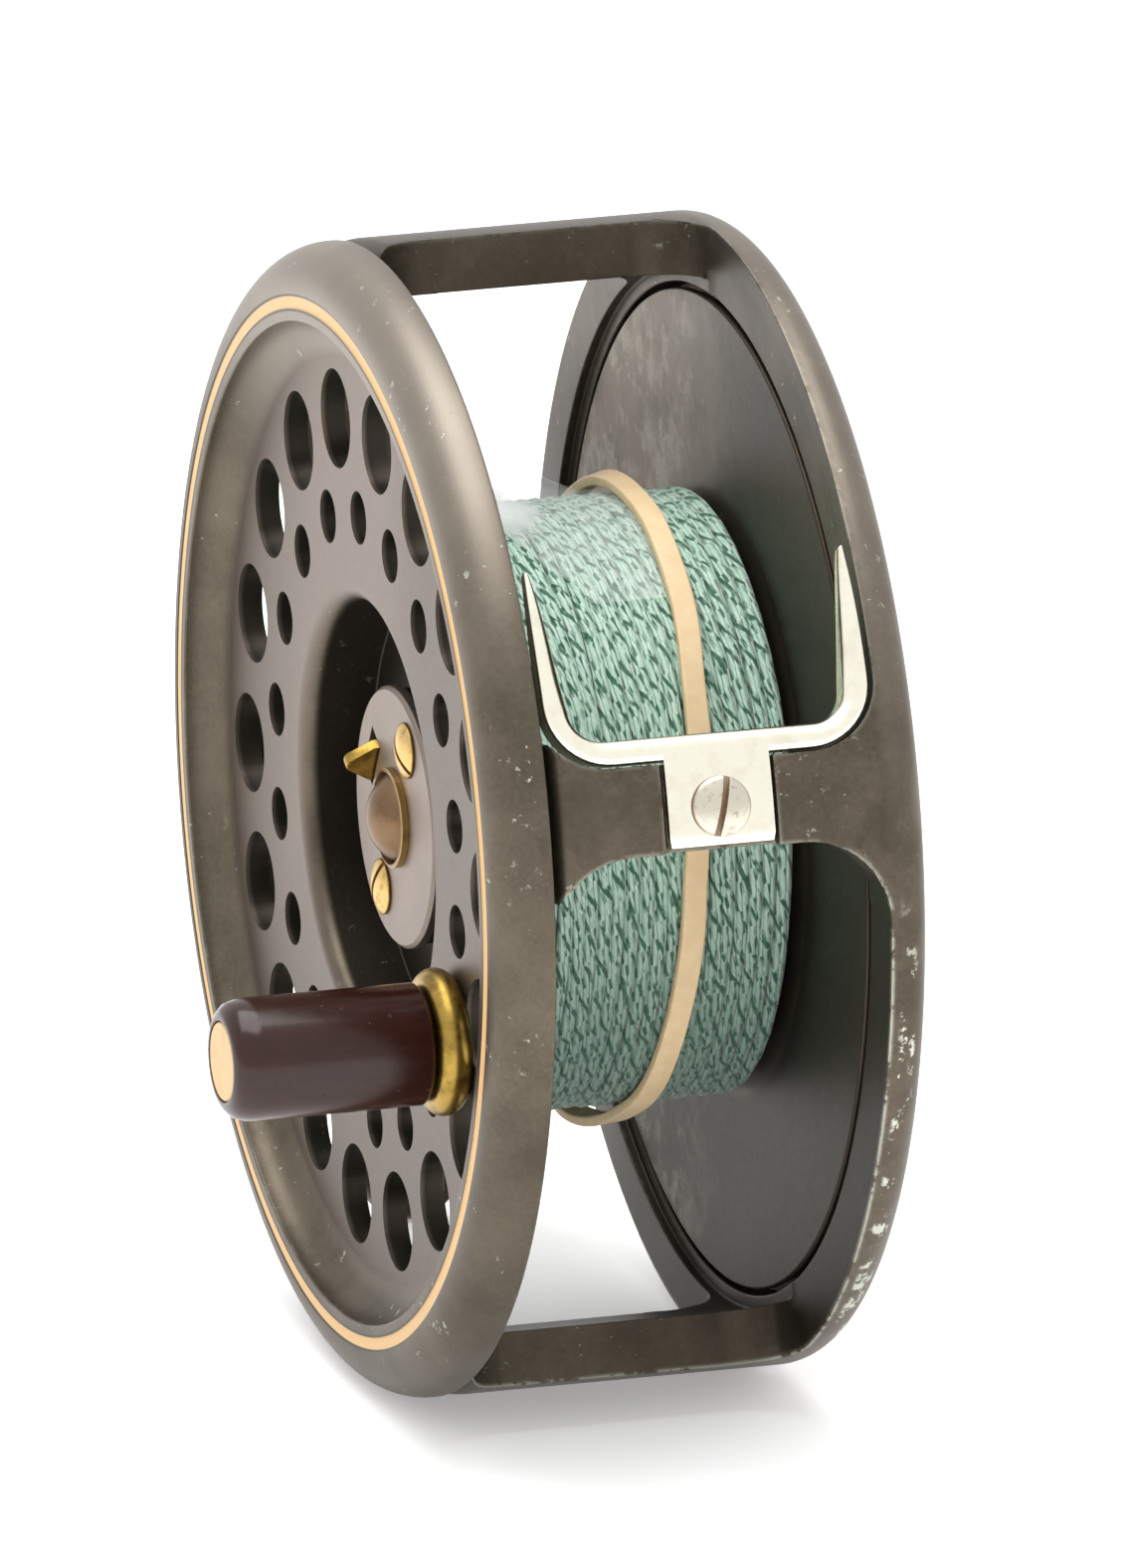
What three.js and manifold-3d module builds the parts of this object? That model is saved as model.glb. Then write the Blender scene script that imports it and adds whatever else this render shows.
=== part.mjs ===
// A 92 mm single-action fly reel: one-piece cage, perforated spool with an exposed rim, twin
// click pawls, and a drag adjuster on the back plate. Millimetres. In the reel's own group X runs
// along the spindle from the handle side (-X) to the back plate (+X), and an angle is measured
// from -Y, the line guard's side, towards +Z. The group is then shifted to stand on Z = 0.
import * as THREE from "three";
import { mergeVertices } from "three/addons/utils/BufferGeometryUtils.js";
import Module from "manifold-3d";

const wasm = await Module();
wasm.setup();

const RAD = Math.PI / 180;

// Facets of a full turn, by the size of the round.
const LARGE_ROUND = 48;
const MEDIUM_ROUND = 20;
const SCREW_ROUND = 16;
const SMALL_ROUND = 10;

// Spool: depths along X from the rim's front plane, and radii.
const RIM_RADIUS = 46.1;
const RIM_ROUNDING = 4.0;
const RIM_BACK = 4.5;
const RIM_WALL = 1.4;
const RIM_FLAT_INNER = 40.0;
const COVE_RADIUS = 3.0;
const FACE_DEPTH = 3.0;
const WEB_BACK = 5.0;
const FLANGE_ROOT = 41.5;
const WELL_RADIUS = 17.5;
const WELL_LIP = 1.4;
const WELL_FLOOR = 9.0;
const ARBOR_RADIUS = 19.0;
const ARBOR_WALL = 1.4;
const REAR_FLANGE_FRONT = 31.95;
const REAR_FLANGE_BACK = 32.6;
const REAR_FLANGE_RADIUS = 40.0;
const WELL_WALL = 1.8;
const HUB_FRONT = 6.4;
const HUB_RADIUS = 10.2;
const HUB_BORE = 4.2;
const HUB_TUBE = 6.2;
const GEAR_SEAT_RADIUS = 9.6;
const GEAR_SEAT_FRONT = 29.4;

// Holes through the spool's face.
const HOLES_PER_RING = 18;
const OUTER_HOLES = { radius: 4.0, at: 32.0, first: 85 };
const INNER_HOLES = { radius: 2.15, at: 24.5, first: 75 };
const HANDLE_ANGLE = -25;
const HANDLE_AT = 26.5;

// Cage.
const CAGE_RADIUS = 46.1;
const CAGE_INNER = 41.7;
const SHOULDER_DEPTH = 5.1;
const SHOULDER_ROUNDING = 1.5;
const FRONT_RING = { front: 2.2, inner: 42.0, outer: 43.9 };
const WINDOW_FRONT = 4.2;
const LAND_DEPTH = 32.0;
const RECESS_RADIUS = 40.5;
const RECESS_FLOOR = 34.5;
const BACK_DEPTH = 35.6;
const BACK_ROUNDING = 2.7;
const SPINDLE_BOSS = { radius: 3.9, front: 33.3 };
// Windows between the pillars: first and last angle, back edge, and the corner radius at each end.
// The two beside the foot end further forward.
const WINDOWS = [
  { from: -65.5, to: 11.6, back: 32.1, cornerFrom: 5.5, cornerTo: 6.9 },
  { from: 20.5, to: 97.5, back: 32.1, cornerFrom: 5.6, cornerTo: 5.5 },
  { from: 114.5, to: 186.0, back: 31.2, cornerFrom: 5.5, cornerTo: 5.5 },
  { from: 206.0, to: 277.5, back: 31.2, cornerFrom: 5.5, cornerTo: 5.5 },
];
const GUARD_ANGLE = 15.9;
const FOOT_ANGLE = 196;
const MIDDLE_DEPTH = 18.4;

// Spindle and bearings.
const SPINDLE_RADIUS = 2.4;
const SPINDLE_FRONT = 5.9;
const LATCH_GROOVE = { front: 6.55, back: 7.65, radius: 1.6 };
const RUNNING_GAP = 0.05;
const SEAT_GAP = 0.03;
const BUSHES = {
  front_bush: { front: 8.4, back: 14.0 },
  rear_bush: { front: 25.0, back: 32.5 },
};

// Line guard, laid out flat as depth and distance round the cage, then bent on to it.
const GUARD = {
  front: 4.9,
  back: 31.8,
  height: 2.0,
  reach: 16.2,
  outerCorner: 5.3,
  innerCorner: 2.6,
  outer: 46.3,
  inner: 44.0,
  tabWidth: 8.7,
  tabDrop: 6.9,
  tabInner: 45.1,
};

// Foot.
const FOOT_PLANE = 49.6;
const FOOT_WIDTH = 13.4;
const FOOT_TIP_WIDTH = 8.6;
const FOOT_FLAT = 45.4;
const FOOT_BLOCK_HALF = 7.4;
const FOOT_SCREW_AT = 4.6;

// Handle.
const GRIP_RADIUS = 4.9;
const GRIP_FRONT = -16.4;
const COLLAR_RADIUS = 5.9;
const COLLAR_THICK = 2.8;
const HANDLE_PIN_RADIUS = 1.9;
const PIN_HEAD_RADIUS = 3.15;

// Latch.
const LATCH_ANGLE = 150;
const LATCH_TRAVEL = 1.0;
const COVER_FRONT = 5.3;
const COVER_RADIUS = 10.5;
const COVER_SCREWS = { at: 7.3, angles: [63, 245] };

// Check mechanism, between the rear flange and the back plate.
const GEAR_TEETH = 24;
const GEAR_TIP = 8.8;
const GEAR_ROOT = 7.5;
const GEAR_FRONT = 32.65;
const GEAR_THICK = 1.35;
const PAWL_FRONT = 32.95;
const PAWL_THICK = 1.2;
const CHECK_ANGLE = -74;
const CAM_AT = 21.0;
const CAM = { low: 2.6, risePerTurn: 3.6, riseTurn: 200, fallTurn: 130 };
const KNOB = { radius: 6.6, thick: 4.0, flutes: 20, fluteDepth: 0.45 };

// Line pack, band and tape.
const LINE_RADIUS = 24.4;
const BAND = { depth: 22.9, sway: 2.6, width: 1.9, thick: 0.85 };
const TAPE = { front: 12.5, back: 23.4, from: 57, to: 116, thick: 0.25 };

const COLOURS = {
  paint: [0x5e554e, 0.45, 0.35],
  steel: [0xb9bcc0, 0.3, 0.9],
  brass: [0xc59a45, 0.3, 0.9],
  nickel: [0xd9d6c4, 0.25, 0.9],
  grip: [0x3a1d1a, 0.3, 0.0],
  cap: [0x7a5a44, 0.35, 0.5],
  line: [0xb9d4c6, 0.8, 0.0],
  band: [0xe3c296, 0.7, 0.0],
  tape: [0xdfe6e0, 0.3, 0.0],
};

// ---------- solids ----------

function signedVolume(geometry) {
  const p = geometry.getAttribute("position");
  const index = geometry.index.array;
  const corner = [new THREE.Vector3(), new THREE.Vector3(), new THREE.Vector3()];
  let total = 0;
  for (let i = 0; i < index.length; i += 3) {
    corner.forEach((v, k) => v.fromBufferAttribute(p, index[i + k]));
    total += corner[0].dot(corner[1].clone().cross(corner[2])) / 6;
  }
  return total;
}

// A closed geometry as a manifold solid with its faces turned outwards.
function solid(geometry) {
  const bare = new THREE.BufferGeometry().setAttribute(
    "position",
    geometry.getAttribute("position"),
  );
  bare.setIndex(geometry.index);
  const merged = mergeVertices(bare, 1e-4);
  const triVerts = new Uint32Array(merged.index.array);
  if (signedVolume(merged) < 0) {
    for (let i = 0; i < triVerts.length; i += 3) {
      [triVerts[i + 1], triVerts[i + 2]] = [triVerts[i + 2], triVerts[i + 1]];
    }
  }
  const vertProperties = new Float32Array(merged.attributes.position.array);
  return new wasm.Manifold(new wasm.Mesh({ numProp: 3, vertProperties, triVerts }));
}

function geometryOf(body) {
  const mesh = body.getMesh();
  const geometry = new THREE.BufferGeometry();
  geometry.setAttribute("position", new THREE.BufferAttribute(mesh.vertProperties, 3));
  geometry.setIndex(new THREE.BufferAttribute(mesh.triVerts, 1));
  return geometry;
}

// A profile of [depth, radius] points revolved about the X axis.
function lathe(profile, segments, y = 0, z = 0) {
  const points = profile.map(([x, r]) => new THREE.Vector2(r, x));
  const geometry = new THREE.LatheGeometry(points, segments);
  geometry.rotateZ(-Math.PI / 2);
  geometry.translate(0, y, z);
  return solid(geometry);
}

function ring(profile, segments, y, z) {
  return lathe([...profile, profile[0]], segments, y, z);
}

function rod(front, back, radius, segments, y = 0, z = 0) {
  return lathe([[front, 0], [front, radius], [back, radius], [back, 0]], segments, y, z);
}

function tube(front, back, inner, outer, segments, y, z) {
  const profile = [[front, inner], [front, outer], [back, outer], [back, inner]];
  return ring(profile, segments, y, z);
}

// A shape drawn in (Y, Z) and pushed along X from front to back.
function plate(shape, front, back) {
  const geometry = new THREE.ExtrudeGeometry(shape, {
    depth: back - front,
    bevelEnabled: false,
  });
  const yzx = new THREE.Matrix4().makeBasis(
    new THREE.Vector3(0, 1, 0),
    new THREE.Vector3(0, 0, 1),
    new THREE.Vector3(1, 0, 0),
  );
  geometry.applyMatrix4(yzx);
  geometry.translate(front, 0, 0);
  return solid(geometry);
}

function box(x0, x1, y0, y1, z0, z1) {
  const geometry = new THREE.BoxGeometry(x1 - x0, y1 - y0, z1 - z0);
  geometry.translate((x0 + x1) / 2, (y0 + y1) / 2, (z0 + z1) / 2);
  return solid(geometry);
}

// Sections with the same number of points, skinned one to the next, capped or closed in a loop.
function loft(sections, looped = false) {
  const count = sections[0].length;
  const index = [];
  const last = looped ? sections.length : sections.length - 1;
  for (let s = 0; s < last; s += 1) {
    const a = s * count;
    const b = ((s + 1) % sections.length) * count;
    for (let i = 0; i < count; i += 1) {
      const j = (i + 1) % count;
      index.push(a + i, a + j, b + j, a + i, b + j, b + i);
    }
  }
  if (!looped) {
    const end = (sections.length - 1) * count;
    for (let i = 1; i < count - 1; i += 1) {
      index.push(0, i + 1, i, end, end + i, end + i + 1);
    }
  }
  const geometry = new THREE.BufferGeometry();
  const positions = new Float32Array(sections.flat(2));
  geometry.setAttribute("position", new THREE.BufferAttribute(positions, 3));
  geometry.setIndex(index);
  return solid(geometry);
}

function polygon(points) {
  return new THREE.Shape(points.map(([a, b]) => new THREE.Vector2(a, b)));
}

// Points of an arc about (a, b), from one angle in degrees to another.
function arc(a, b, radius, from, to, steps) {
  const points = [];
  for (let i = 0; i <= steps; i += 1) {
    const angle = (from + ((to - from) * i) / steps) * RAD;
    points.push([a + radius * Math.cos(angle), b + radius * Math.sin(angle)]);
  }
  return points;
}

// The point at a radius and angle round the spindle, as [y, z].
function polar(radius, angle) {
  return [-radius * Math.cos(angle * RAD), radius * Math.sin(angle * RAD)];
}

function cut(body, ...tools) {
  return tools.reduce((left, tool) => left.subtract(tool), body);
}

function join(body, ...others) {
  return others.reduce((whole, other) => whole.add(other), body);
}

// ---------- scene graph ----------

const reel = new THREE.Group();

// A group whose local Z points outwards at an angle round the cage and whose local X is axial.
function outwardAt(angle) {
  const group = new THREE.Group();
  group.rotation.x = Math.PI / 2 - angle * RAD;
  reel.add(group);
  return group;
}

function part(name, body, finish, parent = reel) {
  const [color, roughness, metalness] = COLOURS[finish];
  const material = new THREE.MeshStandardMaterial({ color, roughness, metalness });
  const mesh = new THREE.Mesh(geometryOf(body), material);
  mesh.name = name;
  parent.add(mesh);
  return mesh;
}

// A screw along X: head from `front`, shank to `back`, and a slot across the head.
function slottedScrew(front, headBack, back, headRadius, shankRadius, slotAngle, y = 0, z = 0) {
  const slotDepth = (headBack - front) * 0.45;
  const body = lathe(
    [
      [front, 0],
      [front, headRadius * 0.7],
      [front + 0.3, headRadius],
      [headBack, headRadius],
      [headBack, shankRadius],
      [back, shankRadius],
      [back, 0],
    ],
    SCREW_ROUND,
  );
  const slot = new THREE.BoxGeometry(slotDepth * 2, headRadius * 3, headRadius * 0.27);
  slot.rotateX(slotAngle * RAD);
  slot.translate(front, 0, 0);
  return cut(body, solid(slot)).translate([0, y, z]);
}

// ---------- spool ----------

// The spool's front: rim with its hidden hollow, dished face, and the wall of the middle well.
function spoolFaceProfile() {
  const rimCentre = RIM_RADIUS - RIM_ROUNDING;
  const hollowOuter = RIM_RADIUS - RIM_WALL;
  const hollowFront = RIM_WALL + 0.1;
  const rim = arc(RIM_ROUNDING, rimCentre, RIM_ROUNDING, 180, 90, 5);
  const cove = arc(0, RIM_FLAT_INNER - COVE_RADIUS, COVE_RADIUS, 0, 90, 4);
  const lip = arc(FACE_DEPTH + WELL_LIP, WELL_RADIUS + WELL_LIP, WELL_LIP, 270, 180, 3);
  return [
    [WELL_FLOOR - SEAT_GAP, WELL_RADIUS],
    ...lip,
    ...cove,
    ...rim,
    [RIM_BACK, RIM_RADIUS],
    [RIM_BACK, hollowOuter],
    [hollowFront + 1.5, hollowOuter],
    [hollowFront, hollowOuter - 1.2],
    [hollowFront, FLANGE_ROOT],
    [WEB_BACK, FLANGE_ROOT],
    [WEB_BACK, ARBOR_RADIUS],
    [WELL_FLOOR - SEAT_GAP, ARBOR_RADIUS],
  ];
}

// The drum that the line is wound on, with the well's floor, the hub and the gear's seat.
function spoolArborProfile() {
  const drumBack = REAR_FLANGE_FRONT - SEAT_GAP;
  const drumInner = ARBOR_RADIUS - ARBOR_WALL;
  return [
    [HUB_FRONT, HUB_BORE],
    [HUB_FRONT, HUB_RADIUS],
    [WELL_FLOOR, HUB_RADIUS],
    [WELL_FLOOR, ARBOR_RADIUS],
    [drumBack, ARBOR_RADIUS],
    [drumBack, drumInner],
    [WELL_FLOOR + WELL_WALL, drumInner],
    [WELL_FLOOR + WELL_WALL, HUB_TUBE],
    [GEAR_SEAT_FRONT, HUB_TUBE],
    [GEAR_SEAT_FRONT, GEAR_SEAT_RADIUS],
    [REAR_FLANGE_BACK, GEAR_SEAT_RADIUS],
    [REAR_FLANGE_BACK, HUB_BORE],
  ];
}

function rearFlangeProfile() {
  const inner = ARBOR_RADIUS - ARBOR_WALL;
  const edge = 0.3;
  return [
    [REAR_FLANGE_FRONT, inner],
    [REAR_FLANGE_FRONT, REAR_FLANGE_RADIUS - edge],
    [REAR_FLANGE_FRONT + edge, REAR_FLANGE_RADIUS],
    [REAR_FLANGE_BACK, REAR_FLANGE_RADIUS],
    [REAR_FLANGE_BACK, inner],
  ];
}

function faceHoles() {
  const holes = [];
  for (let i = 0; i < HOLES_PER_RING; i += 1) {
    const step = (360 / HOLES_PER_RING) * i;
    for (const rowOfHoles of [OUTER_HOLES, INNER_HOLES]) {
      const angle = rowOfHoles.first + step;
      const underHandle = rowOfHoles === INNER_HOLES && angle - 360 === HANDLE_ANGLE;
      if (underHandle) continue;
      const [y, z] = polar(rowOfHoles.at, angle);
      holes.push(rod(FACE_DEPTH - 1, WEB_BACK + 1, rowOfHoles.radius, SMALL_ROUND, y, z));
    }
  }
  return holes;
}

const GEAR_SCREW_AT = 6.0;
const GEAR_SCREW_ANGLES = [30, 150, 270];
const SCREW_CLEARANCE = 0.12;
const COVER_SCREW_SHANK = 1.2;
const GEAR_SCREW_SHANK = 0.65;
const LATCH_POCKET = { back: 8.3, half: 3.7, from: -5.6, to: 9.1 };

// Geometry laid out with local +Y towards the latch tab, turned to the tab's own angle.
function towardsLatch(body) {
  return body.rotate([180 - LATCH_ANGLE, 0, 0]);
}

function buildSpool() {
  const [pinY, pinZ] = polar(HANDLE_AT, HANDLE_ANGLE);
  const pinHole = HANDLE_PIN_RADIUS + RUNNING_GAP;
  const faceTools = faceHoles();
  faceTools.push(rod(FACE_DEPTH - 1, WEB_BACK + 1, pinHole, MEDIUM_ROUND, pinY, pinZ));
  part("spool_face", cut(ring(spoolFaceProfile(), LARGE_ROUND), ...faceTools), "paint");

  const hubTools = [];
  for (const angle of COVER_SCREWS.angles) {
    const [y, z] = polar(COVER_SCREWS.at, angle);
    const radius = COVER_SCREW_SHANK + SCREW_CLEARANCE;
    hubTools.push(rod(HUB_FRONT - 1, WELL_FLOOR, radius, SMALL_ROUND, y, z));
  }
  for (const angle of GEAR_SCREW_ANGLES) {
    const [y, z] = polar(GEAR_SCREW_AT, angle);
    const radius = GEAR_SCREW_SHANK + SCREW_CLEARANCE;
    hubTools.push(rod(GEAR_SEAT_FRONT + 0.6, REAR_FLANGE_BACK + 1, radius, SMALL_ROUND, y, z));
  }
  const { back, half, from, to } = LATCH_POCKET;
  hubTools.push(towardsLatch(box(HUB_FRONT - 1, back, from, to, -half, half)));
  part("spool_arbor", cut(ring(spoolArborProfile(), LARGE_ROUND), ...hubTools), "paint");
  part("spool_rear_flange", ring(rearFlangeProfile(), LARGE_ROUND), "paint");
}

function buildBearings() {
  const bushOuter = HUB_BORE - SEAT_GAP;
  const bushInner = SPINDLE_RADIUS + RUNNING_GAP;
  for (const [name, { front, back }] of Object.entries(BUSHES)) {
    part(name, tube(front, back, bushInner, bushOuter, MEDIUM_ROUND), "brass");
  }
  const washerBack = SPINDLE_BOSS.front - 0.1;
  const washer = tube(REAR_FLANGE_BACK, washerBack, bushInner, bushOuter - 0.3, MEDIUM_ROUND);
  part("thrust_washer", washer, "steel");
}

function buildCheckGear() {
  const points = [];
  for (let tooth = 0; tooth < GEAR_TEETH; tooth += 1) {
    const pitch = 360 / GEAR_TEETH;
    const middle = CHECK_ANGLE + pitch * (tooth + 0.5);
    points.push(polar(GEAR_ROOT, middle - pitch * 0.5));
    points.push(polar(GEAR_TIP, middle - pitch * 0.1));
    points.push(polar(GEAR_TIP, middle + pitch * 0.1));
  }
  const back = GEAR_FRONT + GEAR_THICK;
  const bore = rod(GEAR_FRONT - 1, back + 1, HUB_BORE + 0.2, MEDIUM_ROUND);
  let gear = cut(plate(polygon(points), GEAR_FRONT, back), bore);
  GEAR_SCREW_ANGLES.forEach((angle, i) => {
    const [y, z] = polar(GEAR_SCREW_AT, angle);
    const shank = GEAR_SCREW_SHANK + SCREW_CLEARANCE;
    gear = gear.subtract(rod(GEAR_FRONT - 1, back + 1, shank, SMALL_ROUND, y, z));
    gear = gear.subtract(rod(back - 0.6, back + 1, 1.25, SMALL_ROUND, y, z));
    const head = [[back - 0.55, 0], [back - 0.55, 1.1], [back, 1.1], [back, 0]];
    const screw = join(
      lathe(head, SMALL_ROUND, y, z),
      rod(GEAR_SEAT_FRONT + 0.8, back - 0.5, GEAR_SCREW_SHANK, SMALL_ROUND, y, z),
    );
    part(`gear_screw_${i + 1}`, screw, "steel");
  });
  part("check_gear", gear, "brass");
}

// ---------- handle ----------

function buildHandle() {
  const [y, z] = polar(HANDLE_AT, HANDLE_ANGLE);
  const pinGap = HANDLE_PIN_RADIUS + RUNNING_GAP;
  const collarFront = FACE_DEPTH - COLLAR_THICK;
  const collarBack = FACE_DEPTH - SEAT_GAP;
  const collar = ring(
    [
      [collarBack, pinGap],
      [collarFront, pinGap],
      [collarFront, COLLAR_RADIUS - 0.8],
      [collarFront + 0.35, COLLAR_RADIUS - 0.25],
      [collarFront + 1.2, COLLAR_RADIUS],
      [collarBack - 0.5, COLLAR_RADIUS],
      [collarBack, COLLAR_RADIUS - 0.3],
    ],
    MEDIUM_ROUND,
    y,
    z,
  );
  part("handle_collar", collar, "brass");
  const headBack = GRIP_FRONT + 1.0;
  const pin = lathe(
    [
      [GRIP_FRONT, 0],
      [GRIP_FRONT, PIN_HEAD_RADIUS],
      [headBack, PIN_HEAD_RADIUS],
      [headBack, HANDLE_PIN_RADIUS],
      [WEB_BACK - 0.05, HANDLE_PIN_RADIUS],
      [WEB_BACK - 0.05, 0],
    ],
    MEDIUM_ROUND,
    y,
    z,
  );
  part("handle_pin", pin, "brass");
  const gripBack = collarFront - 0.15;
  const grip = ring(
    [
      [gripBack, pinGap],
      [headBack + 0.1, pinGap],
      [headBack + 0.1, PIN_HEAD_RADIUS + 0.1],
      [GRIP_FRONT, PIN_HEAD_RADIUS + 0.1],
      [GRIP_FRONT, GRIP_RADIUS - 1.3],
      [GRIP_FRONT + 0.4, GRIP_RADIUS - 0.45],
      [GRIP_FRONT + 1.4, GRIP_RADIUS],
      [gripBack - 0.3, GRIP_RADIUS],
      [gripBack, GRIP_RADIUS - 0.3],
    ],
    MEDIUM_ROUND,
    y,
    z,
  );
  part("handle_grip", grip, "grip");
}

// ---------- latch ----------

const LEVER = { front: 6.7, back: 7.5, tail: -4.9, head: 6.9, half: 3.3 };
const TAB = { near: 5.9, far: 6.9, half: 1.85, front: 2.9 };

function buildLatch() {
  const cover = ring(
    [
      [COVER_FRONT, SPINDLE_RADIUS + 0.3],
      [COVER_FRONT, COVER_RADIUS - 0.3],
      [COVER_FRONT + 0.3, COVER_RADIUS],
      [HUB_FRONT - SEAT_GAP, COVER_RADIUS],
      [HUB_FRONT - SEAT_GAP, SPINDLE_RADIUS + 0.3],
    ],
    2 * MEDIUM_ROUND,
  );
  const tabSlot = box(
    COVER_FRONT - 1,
    HUB_FRONT + 1,
    TAB.near - 0.3,
    TAB.far + LATCH_TRAVEL + 0.2,
    -TAB.half - 0.3,
    TAB.half + 0.3,
  );
  const tools = [towardsLatch(tabSlot)];
  COVER_SCREWS.angles.forEach((angle, i) => {
    const [y, z] = polar(COVER_SCREWS.at, angle);
    const hole = COVER_SCREW_SHANK + SCREW_CLEARANCE;
    tools.push(rod(COVER_FRONT - 1, HUB_FRONT + 1, hole, SMALL_ROUND, y, z));
    const headBack = COVER_FRONT - SEAT_GAP;
    const back = WELL_FLOOR - 0.5;
    const screw = slottedScrew(headBack - 0.7, headBack, back, 2.25, COVER_SCREW_SHANK, 40 + 70 * i, y, z);
    part(`latch_cover_screw_${i + 1}`, screw, "brass");
  });
  part("latch_cover", cut(cover, ...tools), "paint");

  const capBack = COVER_FRONT - SEAT_GAP;
  const dome = arc(capBack + 1.65, 0, 4.0, 180, 115, 5).map(([x, r]) => [x + 0.15, r]);
  const cap = lathe([...dome, [capBack - 0.55, 4.0], [capBack, 4.0], [capBack, 0]], MEDIUM_ROUND);
  part("spindle_cap", cap, "cap");

  const outline = polygon([
    [LEVER.tail, -LEVER.half],
    [LEVER.head, -LEVER.half],
    [LEVER.head, LEVER.half],
    [LEVER.tail, LEVER.half],
  ]);
  const eye = polygon([
    ...arc(-0.95, 0, 2.65, 90, 270, 8),
    [-0.2, -2.65],
    [LATCH_GROOVE.radius + 0.1, -1.9],
    [LATCH_GROOVE.radius + 0.1, 1.9],
    [-0.2, 2.65],
  ]);
  outline.holes.push(eye);
  const lever = plate(outline, LEVER.front, LEVER.back);
  const tab = plate(
    polygon([[TAB.near, -TAB.half], [TAB.far, -TAB.half], [TAB.far, TAB.half], [TAB.near, TAB.half]]),
    TAB.front,
    LEVER.back,
  );
  const topRound = solid(new THREE.CylinderGeometry(2.6, 2.6, 4, MEDIUM_ROUND))
    .translate([TAB.front + 2.6, (TAB.near + TAB.far) / 2, 0])
    .add(box(TAB.front + 2.6, LEVER.back + 1, TAB.near - 1, TAB.far + 1, -3, 3));
  part("latch_lever", towardsLatch(join(lever, tab.intersect(topRound))), "brass");

  const bow = [];
  for (let i = 0; i <= 6; i += 1) {
    const across = -3 + i;
    const bulge = 0.5 * (1 - (across / 3) ** 2);
    bow.push([8.85 - bulge, across]);
  }
  const strip = [...bow, ...bow.map(([a, b]) => [a + 0.2, b]).reverse()];
  part("latch_spring", towardsLatch(plate(polygon(strip), LEVER.front, LEVER.back)), "steel");
}

// ---------- cage ----------

function cageProfile() {
  const backArc = arc(
    BACK_DEPTH - BACK_ROUNDING,
    CAGE_RADIUS - BACK_ROUNDING,
    BACK_ROUNDING,
    90,
    0,
    5,
  );
  const shoulder = arc(
    SHOULDER_DEPTH + SHOULDER_ROUNDING,
    CAGE_RADIUS - SHOULDER_ROUNDING,
    SHOULDER_ROUNDING,
    180,
    90,
    3,
  );
  return [
    [FRONT_RING.front, FRONT_RING.inner],
    [FRONT_RING.front, FRONT_RING.outer],
    [SHOULDER_DEPTH, FRONT_RING.outer],
    ...shoulder,
    ...backArc,
    [BACK_DEPTH, SPINDLE_RADIUS + SEAT_GAP],
    [SPINDLE_BOSS.front, SPINDLE_RADIUS + SEAT_GAP],
    [SPINDLE_BOSS.front, SPINDLE_BOSS.radius],
    [RECESS_FLOOR, SPINDLE_BOSS.radius],
    [RECESS_FLOOR, RECESS_RADIUS],
    [LAND_DEPTH, RECESS_RADIUS],
    [LAND_DEPTH, CAGE_INNER],
    [SHOULDER_DEPTH, CAGE_INNER],
    [SHOULDER_DEPTH, FRONT_RING.inner],
  ];
}

// A window: a sector with rounded corners, cut through the wall.
function windowTool(window) {
  const { from, to, cornerFrom, cornerTo } = window;
  const inner = RECESS_RADIUS - 0.6;
  const outer = CAGE_RADIUS + 3;
  const perDegree = CAGE_RADIUS * RAD;
  const angles = [];
  const cornerSteps = [0, 0.07, 0.22, 0.5, 1];
  for (const share of cornerSteps) {
    angles.push([from + (share * cornerFrom) / perDegree, cornerFrom * (1 - share), cornerFrom]);
  }
  const straightFrom = from + cornerFrom / perDegree;
  const straightTo = to - cornerTo / perDegree;
  const steps = Math.round((straightTo - straightFrom) / 6);
  for (let i = 1; i < steps; i += 1) {
    angles.push([straightFrom + ((straightTo - straightFrom) * i) / steps, 0, cornerFrom]);
  }
  for (const share of [...cornerSteps].reverse()) {
    angles.push([to - (share * cornerTo) / perDegree, cornerTo * (1 - share), cornerTo]);
  }
  const sections = angles.map(([angle, into, corner]) => {
    const inset = corner - Math.sqrt(Math.max(corner ** 2 - into ** 2, 0));
    const front = WINDOW_FRONT + inset;
    const back = window.back - inset;
    const low = polar(inner, angle);
    const high = polar(outer, angle);
    return [
      [front, ...low],
      [front, ...high],
      [back, ...high],
      [back, ...low],
    ];
  });
  return loft(sections);
}

// A solid made in an outward-facing local frame, turned into the reel's frame.
function turnedOut(body, angle) {
  return body.rotate([90 - angle, 0, 0]);
}

// A solid made along local X, stood up along local Z, with its front facing outwards.
function standOut(body, x, y) {
  return body.rotate([0, 90, 0]).translate([x, y, 0]);
}

const GUARD_SCREW_DEPTH = MIDDLE_DEPTH + 0.1;
const GUARD_BAR_BOTTOM = ((20.3 - GUARD_ANGLE) * RAD) * CAGE_RADIUS + 0.35;
const FOOT_SCREW_SHANK = 1.3;
const CAM_SHAFT_RADIUS = 1.6;
const POST_RADIUS = 1.1;
const [CAM_Y, CAM_Z] = polar(CAM_AT, CHECK_ANGLE);

// Pawl pivots, mirrored about the line from the spindle to the cam.
const PAWL_NOSE_ANGLE = 75;
const PAWL_ARM = 9.0;
const PAWL_LIFT = 2.6;
const NOSE_RADIUS = 8.15;

function pawlPivot(side) {
  const nose = PAWL_NOSE_ANGLE * RAD;
  const along = NOSE_RADIUS * Math.cos(nose) - PAWL_ARM * Math.sin(nose);
  const across = NOSE_RADIUS * Math.sin(nose) + PAWL_ARM * Math.cos(nose);
  return [
    along + PAWL_LIFT * Math.cos(nose),
    side * (across + PAWL_LIFT * Math.sin(nose)),
  ];
}

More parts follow.
